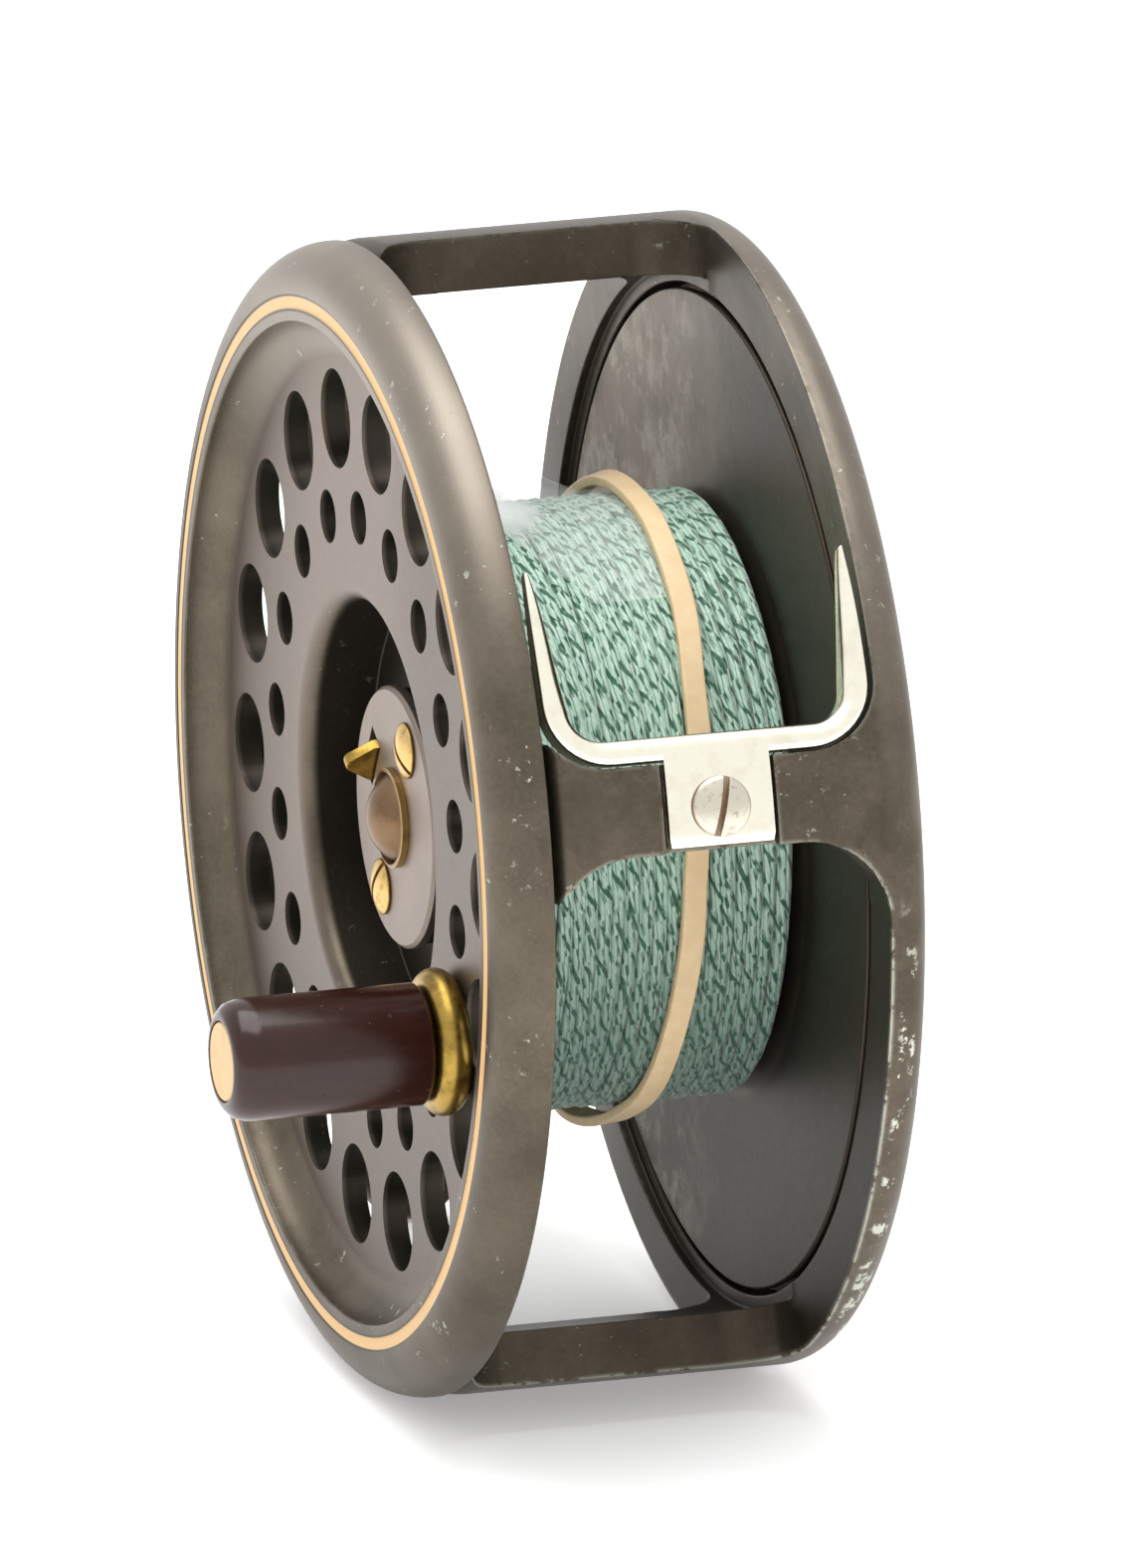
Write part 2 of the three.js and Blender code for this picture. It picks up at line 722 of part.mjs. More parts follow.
// From the check mechanism's own plan (along towards the cam, across) to [y, z].
function fromPlan([along, across]) {
  const [ay, az] = polar(1, CHECK_ANGLE);
  return [along * ay - across * az, along * az + across * ay];
}

function buildCage() {
  const tools = WINDOWS.map(windowTool);
  const tabHalf = GUARD.tabWidth / 2 + 0.3;
  const tabRecess = box(
    GUARD_SCREW_DEPTH - tabHalf,
    GUARD_SCREW_DEPTH + tabHalf,
    GUARD_BAR_BOTTOM - GUARD.tabDrop - 1,
    GUARD_BAR_BOTTOM + 3,
    GUARD.tabInner - 0.35,
    CAGE_RADIUS + 2,
  );
  tools.push(turnedOut(tabRecess, GUARD_ANGLE));
  const guardHole = standOut(rod(-CAGE_RADIUS - 1, -42.0, 1.42, SMALL_ROUND), GUARD_SCREW_DEPTH, 0);
  tools.push(turnedOut(guardHole, GUARD_ANGLE));
  const seat = box(
    MIDDLE_DEPTH - 6.9,
    MIDDLE_DEPTH + 6.9,
    -FOOT_BLOCK_HALF - 4,
    FOOT_BLOCK_HALF + 4,
    FOOT_FLAT,
    CAGE_RADIUS + 3,
  );
  tools.push(turnedOut(seat, FOOT_ANGLE));
  for (const side of [-1, 1]) {
    const radius = FOOT_SCREW_SHANK + SCREW_CLEARANCE;
    const hole = standOut(rod(-48, -42.4, radius, SMALL_ROUND), MIDDLE_DEPTH, side * FOOT_SCREW_AT);
    tools.push(turnedOut(hole, FOOT_ANGLE));
    const [y, z] = fromPlan(pawlPivot(side));
    tools.push(rod(RECESS_FLOOR - 1, BACK_DEPTH + 1, POST_RADIUS + SEAT_GAP, SMALL_ROUND, y, z));
  }
  const shaftHole = CAM_SHAFT_RADIUS + RUNNING_GAP;
  tools.push(rod(RECESS_FLOOR - 1, BACK_DEPTH + 1, shaftHole, MEDIUM_ROUND, CAM_Y, CAM_Z));
  part("frame_cage", cut(ring(cageProfile(), LARGE_ROUND), ...tools), "paint");
}

function buildSpindle() {
  const groove = LATCH_GROOVE;
  const spindle = lathe(
    [
      [SPINDLE_FRONT, 0],
      [SPINDLE_FRONT, SPINDLE_RADIUS - 0.5],
      [groove.front - 0.1, SPINDLE_RADIUS],
      [groove.front, groove.radius],
      [groove.back, groove.radius],
      [groove.back, SPINDLE_RADIUS],
      [BACK_DEPTH + 0.6, SPINDLE_RADIUS],
      [BACK_DEPTH + 0.6, 0],
    ],
    MEDIUM_ROUND,
  );
  part("spindle", spindle, "steel");
  const nut = cut(
    lathe(
      [
        [BACK_DEPTH + SEAT_GAP, 0],
        [BACK_DEPTH + SEAT_GAP, 5.0],
        [BACK_DEPTH + 0.9, 5.0],
        [BACK_DEPTH + 1.5, 4.2],
        [BACK_DEPTH + 1.8, 0],
      ],
      MEDIUM_ROUND,
    ),
    rod(BACK_DEPTH - 1, BACK_DEPTH + 0.65, SPINDLE_RADIUS + SEAT_GAP, MEDIUM_ROUND),
    box(BACK_DEPTH + 1.2, BACK_DEPTH + 3, -6, 6, -0.5, 0.5),
  );
  part("spindle_nut", nut, "steel");
}

// ---------- line guard ----------

function guardOutline(bottom) {
  const corner = GUARD.outerCorner;
  const tipLevel = bottom + GUARD.reach;
  const barTop = bottom + GUARD.height;
  const innerFront = GUARD.front + 2.2;
  const innerBack = GUARD.back - 2.5;
  const inner = GUARD.innerCorner;
  const tip = (from, to) => [
    [from[0] + (to[0] - from[0]) * 0.33, from[1] + (to[1] - from[1]) * 0.33],
    [from[0] + (to[0] - from[0]) * 0.66, from[1] + (to[1] - from[1]) * 0.66],
  ];
  const backTipOuter = [GUARD.back - 0.3, tipLevel];
  const backTipInner = [GUARD.back - 0.8, tipLevel - 0.3];
  const frontTipInner = [GUARD.front + 0.8, tipLevel - 0.3];
  const frontTipOuter = [GUARD.front + 0.3, tipLevel];
  const backFoot = [GUARD.back, bottom + corner];
  const frontFoot = [GUARD.front, bottom + corner];
  const innerBackFoot = [innerBack, barTop + inner];
  const innerFrontFoot = [innerFront, barTop + inner];
  return [
    ...arc(GUARD.back - corner, bottom + corner, corner, 270, 360, 6),
    ...tip(backFoot, backTipOuter),
    backTipOuter,
    backTipInner,
    ...tip(backTipInner, innerBackFoot),
    ...arc(innerBack - inner, barTop + inner, inner, 360, 270, 4),
    ...arc(innerFront + inner, barTop + inner, inner, 270, 180, 4),
    ...tip(innerFrontFoot, frontTipInner),
    frontTipInner,
    frontTipOuter,
    ...tip(frontTipOuter, frontFoot),
    ...arc(GUARD.front + corner, bottom + corner, corner, 180, 270, 6),
  ];
}

// An outline of [depth, distance round the cage] made into a shell from innerAt(distance) to
// outer, in the local frame that faces outwards.
function bentShell(outline, innerAt, outer) {
  const geometry = new THREE.ExtrudeGeometry(polygon(outline), {
    depth: 1,
    bevelEnabled: false,
  });
  const p = geometry.getAttribute("position");
  for (let i = 0; i < p.count; i += 1) {
    const round = p.getY(i);
    const radius = p.getZ(i) > 0.5 ? outer : innerAt(round);
    const angle = round / CAGE_RADIUS;
    p.setXYZ(i, p.getX(i), radius * Math.sin(angle), radius * Math.cos(angle));
  }
  return solid(geometry);
}

function buildGuard() {
  const group = outwardAt(GUARD_ANGLE);
  const bottom = GUARD_BAR_BOTTOM;
  const thin = (round) => {
    const share = Math.min(Math.max((round - bottom - 4) / (GUARD.reach - 4), 0), 1);
    return GUARD.inner + share * (GUARD.outer - 0.9 - GUARD.inner);
  };
  const prongs = bentShell(guardOutline(bottom), thin, GUARD.outer);
  const half = GUARD.tabWidth / 2;
  const tabTop = bottom + GUARD.height * 0.5;
  const tabOutline = [
    [GUARD_SCREW_DEPTH - half, bottom - GUARD.tabDrop],
    [GUARD_SCREW_DEPTH + half, bottom - GUARD.tabDrop],
    [GUARD_SCREW_DEPTH + half, bottom - GUARD.tabDrop / 2],
    [GUARD_SCREW_DEPTH + half, tabTop],
    [GUARD_SCREW_DEPTH - half, tabTop],
    [GUARD_SCREW_DEPTH - half, bottom - GUARD.tabDrop / 2],
  ];
  const tab = bentShell(tabOutline, () => GUARD.tabInner, GUARD.outer);
  const hole = standOut(rod(-50, -40, 1.42, SMALL_ROUND), GUARD_SCREW_DEPTH, 0);
  part("line_guard", cut(join(prongs, tab), hole), "nickel", group);
  const top = GUARD.outer + 0.1;
  const screw = slottedScrew(-top - 0.75, -top, -42.5, 2.4, 1.3, 14);
  part("line_guard_screw", standOut(screw, GUARD_SCREW_DEPTH, 0), "nickel", group);
}

// ---------- foot ----------

function buildFoot() {
  const tilt = (FOOT_ANGLE - 180) * RAD;
  const half = (RIM_RADIUS - FOOT_PLANE * Math.sin(tilt)) / Math.cos(tilt);
  const group = outwardAt(FOOT_ANGLE);
  const tipHalf = FOOT_TIP_WIDTH / 2;
  const wide = FOOT_WIDTH / 2;
  const plan = polygon([
    ...arc(MIDDLE_DEPTH, half - tipHalf, tipHalf, 0, 180, 8),
    [MIDDLE_DEPTH - wide * 0.86, 15],
    [MIDDLE_DEPTH - wide, 8],
    [MIDDLE_DEPTH - wide, -8],
    [MIDDLE_DEPTH - wide * 0.86, -15],
    ...arc(MIDDLE_DEPTH, tipHalf - half, tipHalf, 180, 360, 8),
    [MIDDLE_DEPTH + wide * 0.86, -15],
    [MIDDLE_DEPTH + wide, -8],
    [MIDDLE_DEPTH + wide, 8],
    [MIDDLE_DEPTH + wide * 0.86, 15],
  ]);
  const planBody = solid(
    new THREE.ExtrudeGeometry(plan, { depth: 8, bevelEnabled: false }).translate(0, 0, 42),
  );
  const seat = FOOT_FLAT + SEAT_GAP;
  const side = polygon([
    [-half - 1, FOOT_PLANE - 1.1],
    [-18, FOOT_PLANE - 1.7],
    [-11, FOOT_PLANE - 2.4],
    [-FOOT_BLOCK_HALF, seat],
    [FOOT_BLOCK_HALF, seat],
    [11, FOOT_PLANE - 2.4],
    [18, FOOT_PLANE - 1.7],
    [half + 1, FOOT_PLANE - 1.1],
    [half + 1, FOOT_PLANE],
    [-half - 1, FOOT_PLANE],
  ]);
  const sideBody = plate(side, MIDDLE_DEPTH - 10, MIDDLE_DEPTH + 10);
  const tools = [];
  for (const end of [-1, 1]) {
    const y = end * FOOT_SCREW_AT;
    const hole = FOOT_SCREW_SHANK + SCREW_CLEARANCE;
    tools.push(standOut(rod(-60, -40, hole, SMALL_ROUND), MIDDLE_DEPTH, y));
    tools.push(standOut(rod(-60, -FOOT_PLANE + 1.3, 2.5, SMALL_ROUND), MIDDLE_DEPTH, y));
    const screw = slottedScrew(
      -FOOT_PLANE + 0.1, -FOOT_PLANE + 1.25, -42.6, 2.35, FOOT_SCREW_SHANK, 35 * end,
    );
    const name = end < 0 ? "foot_screw_1" : "foot_screw_2";
    part(name, standOut(screw, MIDDLE_DEPTH, y), "brass", group);
  }
  part("reel_foot", cut(planBody.intersect(sideBody), ...tools), "paint", group);
}

// ---------- check mechanism ----------

function planPlate(points, front, back) {
  return plate(polygon(points.map(fromPlan)), front, back);
}

function buildPawls() {
  for (const side of [-1, 1]) {
    const number = side < 0 ? 1 : 2;
    const [py, pz] = pawlPivot(side);
    const nose = PAWL_NOSE_ANGLE * RAD;
    // Points given as distance outwards from the gear's centre at the nose, and towards the cam.
    const at = (out, towards) => [
      out * Math.cos(nose) + towards * Math.sin(nose),
      side * (out * Math.sin(nose) - towards * Math.cos(nose)),
    ];
    const arm = [
      at(NOSE_RADIUS + PAWL_LIFT - 1.2, -PAWL_ARM),
      at(NOSE_RADIUS + PAWL_LIFT - 1.2, -0.95),
      at(NOSE_RADIUS, 0),
      at(NOSE_RADIUS + PAWL_LIFT - 1.2, 0.95),
      at(NOSE_RADIUS + PAWL_LIFT + 0.9, 0.95),
      at(NOSE_RADIUS + PAWL_LIFT + 1.2, -PAWL_ARM),
    ];
    const back = PAWL_FRONT + PAWL_THICK;
    const [y, z] = fromPlan([py, pz]);
    const eye = rod(PAWL_FRONT, back, 2.3, MEDIUM_ROUND, y, z);
    const bore = rod(PAWL_FRONT - 1, back + 1, POST_RADIUS + RUNNING_GAP, SMALL_ROUND, y, z);
    const pawl = cut(join(planPlate(arm, PAWL_FRONT, back), eye), bore);
    part(`check_pawl_${number}`, pawl, "steel");
    const post = rod(PAWL_FRONT - 0.1, BACK_DEPTH, POST_RADIUS, SMALL_ROUND, y, z);
    part(`pawl_post_${number}`, post, "steel");
  }
}

const SLIDE = { near: 11.2, bar: 2.0, half: 10.5, stem: 2.0 };

function buildRegulator() {
  const follower = CAM_AT - CAM.low - 0.35;
  const front = PAWL_FRONT;
  const back = RECESS_FLOOR - 0.25;
  const slide = [
    [SLIDE.near, -SLIDE.half],
    [SLIDE.near + SLIDE.bar, -SLIDE.half],
    [SLIDE.near + SLIDE.bar, -SLIDE.stem],
    [follower - 0.8, -SLIDE.stem],
    [follower, -0.5],
    [follower, 0.5],
    [follower - 0.8, SLIDE.stem],
    [SLIDE.near + SLIDE.bar, SLIDE.stem],
    [SLIDE.near + SLIDE.bar, SLIDE.half],
    [SLIDE.near, SLIDE.half],
  ];
  part("regulator_slide", planPlate(slide, front, back), "brass");
  for (const side of [-1, 1]) {
    const strip = [
      [SLIDE.near + 1.6, side * (SLIDE.half + 0.05)],
      [SLIDE.near + 1.6, side * (SLIDE.half + 3.2)],
      [-1.0, side * (SLIDE.half + 3.6)],
      [-1.0, side * (SLIDE.half + 3.3)],
      [SLIDE.near + 1.3, side * (SLIDE.half + 2.9)],
      [SLIDE.near + 1.3, side * (SLIDE.half + 0.05)],
    ];
    const name = side < 0 ? "check_spring_1" : "check_spring_2";
    part(name, planPlate(strip, PAWL_FRONT, PAWL_FRONT + PAWL_THICK), "steel");
  }
}

function buildAdjuster() {
  const steps = 24;
  const towardsSpindle = -CHECK_ANGLE;
  const spiral = [];
  for (let i = 0; i < steps; i += 1) {
    const turn = (i * 360) / steps;
    const fallen = Math.max(0, turn - CAM.riseTurn) / CAM.fallTurn;
    const risen = turn <= CAM.riseTurn ? turn : Math.max(0, CAM.riseTurn * (1 - fallen));
    const radius = CAM.low + (CAM.risePerTurn * risen) / 360;
    const angle = towardsSpindle - turn;
    spiral.push([CAM_Y + radius * Math.cos(angle * RAD), CAM_Z + radius * Math.sin(angle * RAD)]);
  }
  const cam = plate(polygon(spiral), PAWL_FRONT, RECESS_FLOOR - 0.2);
  const shaftBack = BACK_DEPTH + 3.0;
  const shaft = rod(PAWL_FRONT, shaftBack, CAM_SHAFT_RADIUS, MEDIUM_ROUND, CAM_Y, CAM_Z);
  part("adjuster_cam_shaft", join(cam, shaft), "steel");

  const rimPoints = [];
  const rimCount = KNOB.flutes * 4;
  for (let i = 0; i < rimCount; i += 1) {
    const radius = KNOB.radius - (i % 4 === 3 ? KNOB.fluteDepth : 0);
    const angle = (i * 360) / rimCount;
    rimPoints.push([radius * Math.cos(angle * RAD), radius * Math.sin(angle * RAD)]);
  }
  const knobFront = BACK_DEPTH + 0.3;
  const knobBack = knobFront + KNOB.thick;
  const blank = plate(polygon(rimPoints), knobFront, knobBack);
  const turned = lathe(
    [
      [knobFront, 0],
      [knobFront, KNOB.radius - 0.5],
      [knobFront + 0.5, KNOB.radius + 0.1],
      [knobBack - 0.8, KNOB.radius + 0.1],
      [knobBack, KNOB.radius - 0.9],
      [knobBack, 0],
    ],
    MEDIUM_ROUND,
  );
  const knob = cut(
    blank.intersect(turned),
    rod(knobFront - 1, shaftBack + 0.05, CAM_SHAFT_RADIUS + SEAT_GAP, MEDIUM_ROUND),
    rod(knobFront - 1, knobBack + 1, 0.9, SMALL_ROUND),
  );
  part("adjuster_knob", knob.translate([0, CAM_Y, CAM_Z]), "paint");
  const screw = slottedScrew(0, 0.7, 1.9, 2.0, 0.8, 55).rotate([0, 180, 0]);
  part("knob_screw", screw.translate([knobBack + 0.75, CAM_Y, CAM_Z]), "steel");
}

// ---------- line, band and tape ----------

function buildLine() {
  const front = WEB_BACK + 0.3;
  const back = REAR_FLANGE_FRONT - 0.45;
  const inner = ARBOR_RADIUS + 0.1;
  const pack = ring(
    [
      [front, inner],
      [front, LINE_RADIUS - 0.5],
      [front + 0.5, LINE_RADIUS],
      [back - 0.5, LINE_RADIUS],
      [back, LINE_RADIUS - 0.5],
      [back, inner],
    ],
    LARGE_ROUND,
  );
  part("fly_line", pack, "line");
  const bandInner = LINE_RADIUS + 0.1;
  const bandSections = [];
  for (let i = 0; i < LARGE_ROUND; i += 1) {
    const angle = (360 * i) / LARGE_ROUND;
    const middle = BAND.depth + BAND.sway * Math.sin(angle * RAD);
    const low = polar(bandInner, angle);
    const high = polar(bandInner + BAND.thick, angle);
    bandSections.push([
      [middle - BAND.width / 2, ...low],
      [middle - BAND.width / 2, ...high],
      [middle + BAND.width / 2, ...high],
      [middle + BAND.width / 2, ...low],
    ]);
  }
  part("rubber_band", loft(bandSections, true), "band");
  const tapeSections = [];
  const tapeSteps = 12;
  for (let i = 0; i <= tapeSteps; i += 1) {
    const angle = TAPE.from + ((TAPE.to - TAPE.from) * i) / tapeSteps;
    const low = polar(LINE_RADIUS + 0.1, angle);
    const high = polar(LINE_RADIUS + 0.1 + TAPE.thick, angle);
    tapeSections.push([
      [TAPE.front, ...low],
      [TAPE.front, ...high],
      [TAPE.back, ...high],
      [TAPE.back, ...low],
    ]);
  }
  part("line_tape", loft(tapeSections), "tape");
}

buildCage();
buildSpindle();
buildGuard();
buildFoot();
buildPawls();
buildRegulator();
buildAdjuster();
buildBearings();
buildSpool();
buildCheckGear();
buildHandle();
buildLatch();
buildLine();

// Stand the reel on Z = 0 with its box centred on the origin.
const group = new THREE.Group();
group.add(reel);
group.updateMatrixWorld(true);
const bounds = new THREE.Box3().setFromObject(group, true);
const centre = bounds.getCenter(new THREE.Vector3());
reel.position.set(-centre.x, -centre.y, -bounds.min.z);

export default group;
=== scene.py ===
"""Looks of a 92 mm fly reel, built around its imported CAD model.

Shapes are laid out in reel millimetres: X runs along the spindle from the rim's front plane to the
back plate, and an angle is measured round the spindle from -Y, the line guard's side, towards +Z.
"""

from math import cos, hypot, pi, radians, sin, sqrt, tan

import bmesh
import bpy
from mathutils import Matrix, Vector, noise


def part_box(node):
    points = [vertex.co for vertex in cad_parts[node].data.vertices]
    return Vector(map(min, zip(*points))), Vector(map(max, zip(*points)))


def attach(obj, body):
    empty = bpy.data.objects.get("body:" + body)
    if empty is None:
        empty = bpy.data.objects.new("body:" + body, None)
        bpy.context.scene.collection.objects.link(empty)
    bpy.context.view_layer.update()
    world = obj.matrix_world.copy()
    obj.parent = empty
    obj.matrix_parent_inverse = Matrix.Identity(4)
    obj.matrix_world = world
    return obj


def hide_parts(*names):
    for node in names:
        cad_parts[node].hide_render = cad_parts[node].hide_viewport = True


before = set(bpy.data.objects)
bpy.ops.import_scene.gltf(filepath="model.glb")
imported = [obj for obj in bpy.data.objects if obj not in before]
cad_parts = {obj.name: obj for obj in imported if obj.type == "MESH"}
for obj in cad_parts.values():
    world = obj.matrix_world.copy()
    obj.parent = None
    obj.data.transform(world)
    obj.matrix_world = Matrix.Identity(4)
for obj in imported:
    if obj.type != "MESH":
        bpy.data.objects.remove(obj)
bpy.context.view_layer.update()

MM = 0.001
spool_low, spool_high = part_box("spool_face")
SPINDLE = (spool_low + spool_high) / 2
TO_ROW = Matrix.Translation((spool_low.x, SPINDLE.y, SPINDLE.z)) @ Matrix.Scale(MM, 4)

# Spool, in reel millimetres.
RIM_RADIUS = 46.1
RIM_ROUNDING = 4.0
RIM_BACK = 4.5
RIM_WALL = 1.4
STRIPE_INNER = 41.0
STRIPE_OUTER = 41.95
STRIPE_DEPTH = 0.12
RIM_FLAT_INNER = 40.0
COVE_RADIUS = 3.0
FACE_DEPTH = 3.0
WEB_BACK = 5.0
FLANGE_ROOT = 41.5
WELL_RADIUS = 17.5
WELL_LIP = 1.4
WELL_FLOOR = 9.0
ARBOR_RADIUS = 19.0
ARBOR_WALL = 1.4
FLANGE_FRONT = 31.95
FLANGE_BACK = 32.6
FLANGE_RADIUS = 40.0
HUB_FRONT = 6.4
HUB_RADIUS = 10.2
HUB_BORE = 4.2
HUB_TUBE = 6.2
GEAR_SEAT_RADIUS = 9.6
GEAR_SEAT_FRONT = 29.4
HOLES_PER_RING = 18
OUTER_HOLES = (4.0, 32.0, 85)
INNER_HOLES = (2.15, 24.5, 75)
HANDLE_ANGLE = -25
HANDLE_AT = 26.5

# Cage.
CAGE_RADIUS = 46.1
CAGE_INNER = 41.7
SHOULDER_DEPTH = 5.1
SHOULDER_ROUNDING = 1.5
RING_FRONT = 2.2
RING_INNER = 42.0
RING_OUTER = 43.9
WINDOW_FRONT = 4.2
LAND_DEPTH = 32.0
RECESS_RADIUS = 40.5
RECESS_FLOOR = 34.5
BACK_DEPTH = 35.6
BACK_ROUNDING = 2.7
# Each window's first and last angle, the rounding of its corners at either, and its back edge.
WINDOWS = (
    (-65.5, 11.6, 5.5, 6.9, 32.1), (20.5, 97.5, 5.6, 5.5, 32.1), (114.5, 186.0, 5.5, 5.5, 31.2),
    (206.0, 277.5, 5.5, 5.5, 31.2),
)
GUARD_ANGLE = 15.9
FOOT_ANGLE = 196
MIDDLE_DEPTH = 18.4

# Spindle, bearings and gaps.
SPINDLE_RADIUS = 2.4
SPINDLE_FRONT = 5.9
BOSS_RADIUS = 3.9
BOSS_FRONT = 33.3
GROOVE_FRONT = 6.55
GROOVE_BACK = 7.65
GROOVE_RADIUS = 1.6
RUNNING_GAP = 0.05
SEAT_GAP = 0.03
BUSHES = {"front_bush": (8.4, 14.0), "rear_bush": (25.0, 32.5)}

# Line guard, laid out flat as depth and distance round the cage, then bent on to it.
GUARD_FRONT = 4.9
GUARD_BACK = 31.8
GUARD_HEIGHT = 2.0
GUARD_REACH = 16.2
GUARD_PRONG = 2.2
GUARD_CORNER = 5.3
GUARD_INNER_CORNER = 2.6
GUARD_OUTER = 46.3
GUARD_INNER = 44.0
GUARD_TAB_WIDTH = 8.7
GUARD_TAB_DROP = 6.9
GUARD_TAB_INNER = 45.1
GUARD_SCREW_DEPTH = MIDDLE_DEPTH + 0.1
GUARD_BAR_BOTTOM = radians(20.3 - GUARD_ANGLE) * CAGE_RADIUS + 0.35

# Foot.
FOOT_PLANE = 49.6
FOOT_WIDTH = 13.4
FOOT_TIP_WIDTH = 8.6
FOOT_FLAT = 45.4
FOOT_BLOCK_HALF = 7.4
FOOT_SEAT_HALF = 6.9
FOOT_SCREW_AT = 4.6
FOOT_SCREW_SHANK = 1.3

# Handle.
GRIP_RADIUS = 4.9
GRIP_FRONT = -16.4
COLLAR_RADIUS = 5.9
COLLAR_THICK = 2.8
PIN_RADIUS = 1.9
PIN_HEAD_RADIUS = 3.15

# Latch.
LATCH_ANGLE = 150
LATCH_TRAVEL = 1.0
COVER_FRONT = 5.3
COVER_RADIUS = 10.5
COVER_SCREW_AT = 7.3
COVER_SCREW_ANGLES = (63, 245)
LEVER_FRONT = 6.7
LEVER_BACK = 7.5
LEVER_TAIL = -4.9
LEVER_HEAD = 6.9
LEVER_HALF = 3.3
TAB_NEAR = 5.9
TAB_FAR = 6.9
TAB_HALF = 1.85
TAB_FRONT = 2.9
TAB_BACK = 7.5

# Check mechanism.
GEAR_TEETH = 24
GEAR_TIP = 8.8
GEAR_ROOT = 7.5
GEAR_FRONT = 32.65
GEAR_THICK = 1.35
GEAR_SCREW_AT = 6.0
GEAR_SCREW_ANGLES = (30, 150, 270)
PAWL_FRONT = 32.95
PAWL_THICK = 1.2
PAWL_NOSE_ANGLE = 75
PAWL_ARM = 9.0
PAWL_LIFT = 2.6
NOSE_RADIUS = 8.15
POST_RADIUS = 1.1
CHECK_ANGLE = -74
SIDES = ((1, -1), (2, 1))
CAM_AT = 21.0
CAM_CENTRE = (-CAM_AT * cos(radians(CHECK_ANGLE)), CAM_AT * sin(radians(CHECK_ANGLE)))
CAM_LOW = 2.6
CAM_RISE_PER_TURN = 3.6
CAM_RISE_TURN = 200
CAM_FALL_TURN = 130
CAM_SHAFT_RADIUS = 1.6
KNOB_RADIUS = 6.6
KNOB_THICK = 4.0
KNOB_FLUTES = 20
KNOB_FLUTE_DEPTH = 0.45
SLIDE_NEAR = 11.2
SLIDE_BAR = 2.0
SLIDE_HALF = 10.5
SLIDE_STEM = 2.0

# Line pack.
LINE_DIAMETER = 1.15
LINE_FRONT = 5.3
LINE_BACK = 31.5
LINE_RADIUS = 24.4
TUBE_HEIGHT = 0.96
TUBE_WIDTH = 1.1
LINE_LAYERS = 5
TURNS_PER_LAYER = 22
POINTS_PER_TURN = 40

# The film's edge towards the rim, cut at a slant low down, as (angle, depth).
FILM_LEFT = ((56, 17.4), (60, 17.1), (65, 15.6), (70, 14.5), (80, 12.9), (90, 12.5), (120, 12.5))

# The guard's rounded outside: share of its width from the outer edge, and depth below its crest.
GUARD_CROWN = (
    (0.0, 0.55), (0.02, 0.38), (0.07, 0.22), (0.15, 0.1), (0.26, 0.02), (0.38, 0.0),
    (0.5, 0.03), (0.62, 0.1), (0.74, 0.2), (0.85, 0.34), (0.94, 0.52), (1.0, 0.72),
)


# ---------- shapes ----------


def polar(radius, angle):
    """The point at a radius and angle round the spindle, as (y, z)."""
    turn = radians(angle)
    return -radius * cos(turn), radius * sin(turn)


def arc(x, r, radius, start, end, steps):
    """Points of an arc about (x, r), from one angle in degrees to another."""
    points = []
    for i in range(steps + 1):
        turn = radians(start + (end - start) * i / steps)
        points.append((x + radius * cos(turn), r + radius * sin(turn)))
    return points


def eased(points, radius, closed=True, steps=4):
    """The outline with each sharp corner rounded to about the given radius."""
    result = []
    count = len(points)
    for i, corner in enumerate(points):
        here = Vector(corner)
        if not closed and i in (0, count - 1):
            result.append(tuple(here))
            continue
        back = Vector(points[i - 1]) - here
        ahead = Vector(points[(i + 1) % count]) - here
        turn = pi - back.angle(ahead)
        if turn < radians(28):
            result.append(tuple(here))
            continue
        reach = min(radius * tan(turn / 2), back.length * 0.45, ahead.length * 0.45)
        start = here + back.normalized() * reach
        end = here + ahead.normalized() * reach
        for k in range(steps + 1):
            t = k / steps
            point = start * (1 - t) ** 2 + here * 2 * t * (1 - t) + end * t * t
            result.append(tuple(point))
    return result


def meshed(name, shaped, mesh):
    """An object of the shape, with all its faces turned outwards."""
    bmesh.ops.recalc_face_normals(shaped, faces=shaped.faces)
    shaped.to_mesh(mesh)
    shaped.free()
    return linked(name, mesh)


def linked(name, data):
    made = bpy.data.objects.new(name, data)
    bpy.context.scene.collection.objects.link(made)
    return made


def object_from(name, vertices, faces):
    mesh = bpy.data.meshes.new(name)
    mesh.from_pydata([tuple(v) for v in vertices], [], faces)
    shaped = bmesh.new()
    shaped.from_mesh(mesh)
    bmesh.ops.remove_doubles(shaped, verts=shaped.verts, dist=1e-5)
    return meshed(name, shaped, mesh)


def lofted(name, sections, looped=False):
    """Sections with the same number of points, skinned one to the next."""
    count = len(sections[0])
    vertices = [point for section in sections for point in section]
    faces = []
    for s in range(len(sections) if looped else len(sections) - 1):
        a = s * count
        b = (s + 1) % len(sections) * count
        for i in range(count):
            j = (i + 1) % count
            faces.append((a + i, a + j, b + j, b + i))
    if not looped:
        faces.append(tuple(range(count - 1, -1, -1)))
        faces.append(tuple(range(len(vertices) - count, len(vertices))))
    return object_from(name, vertices, faces)


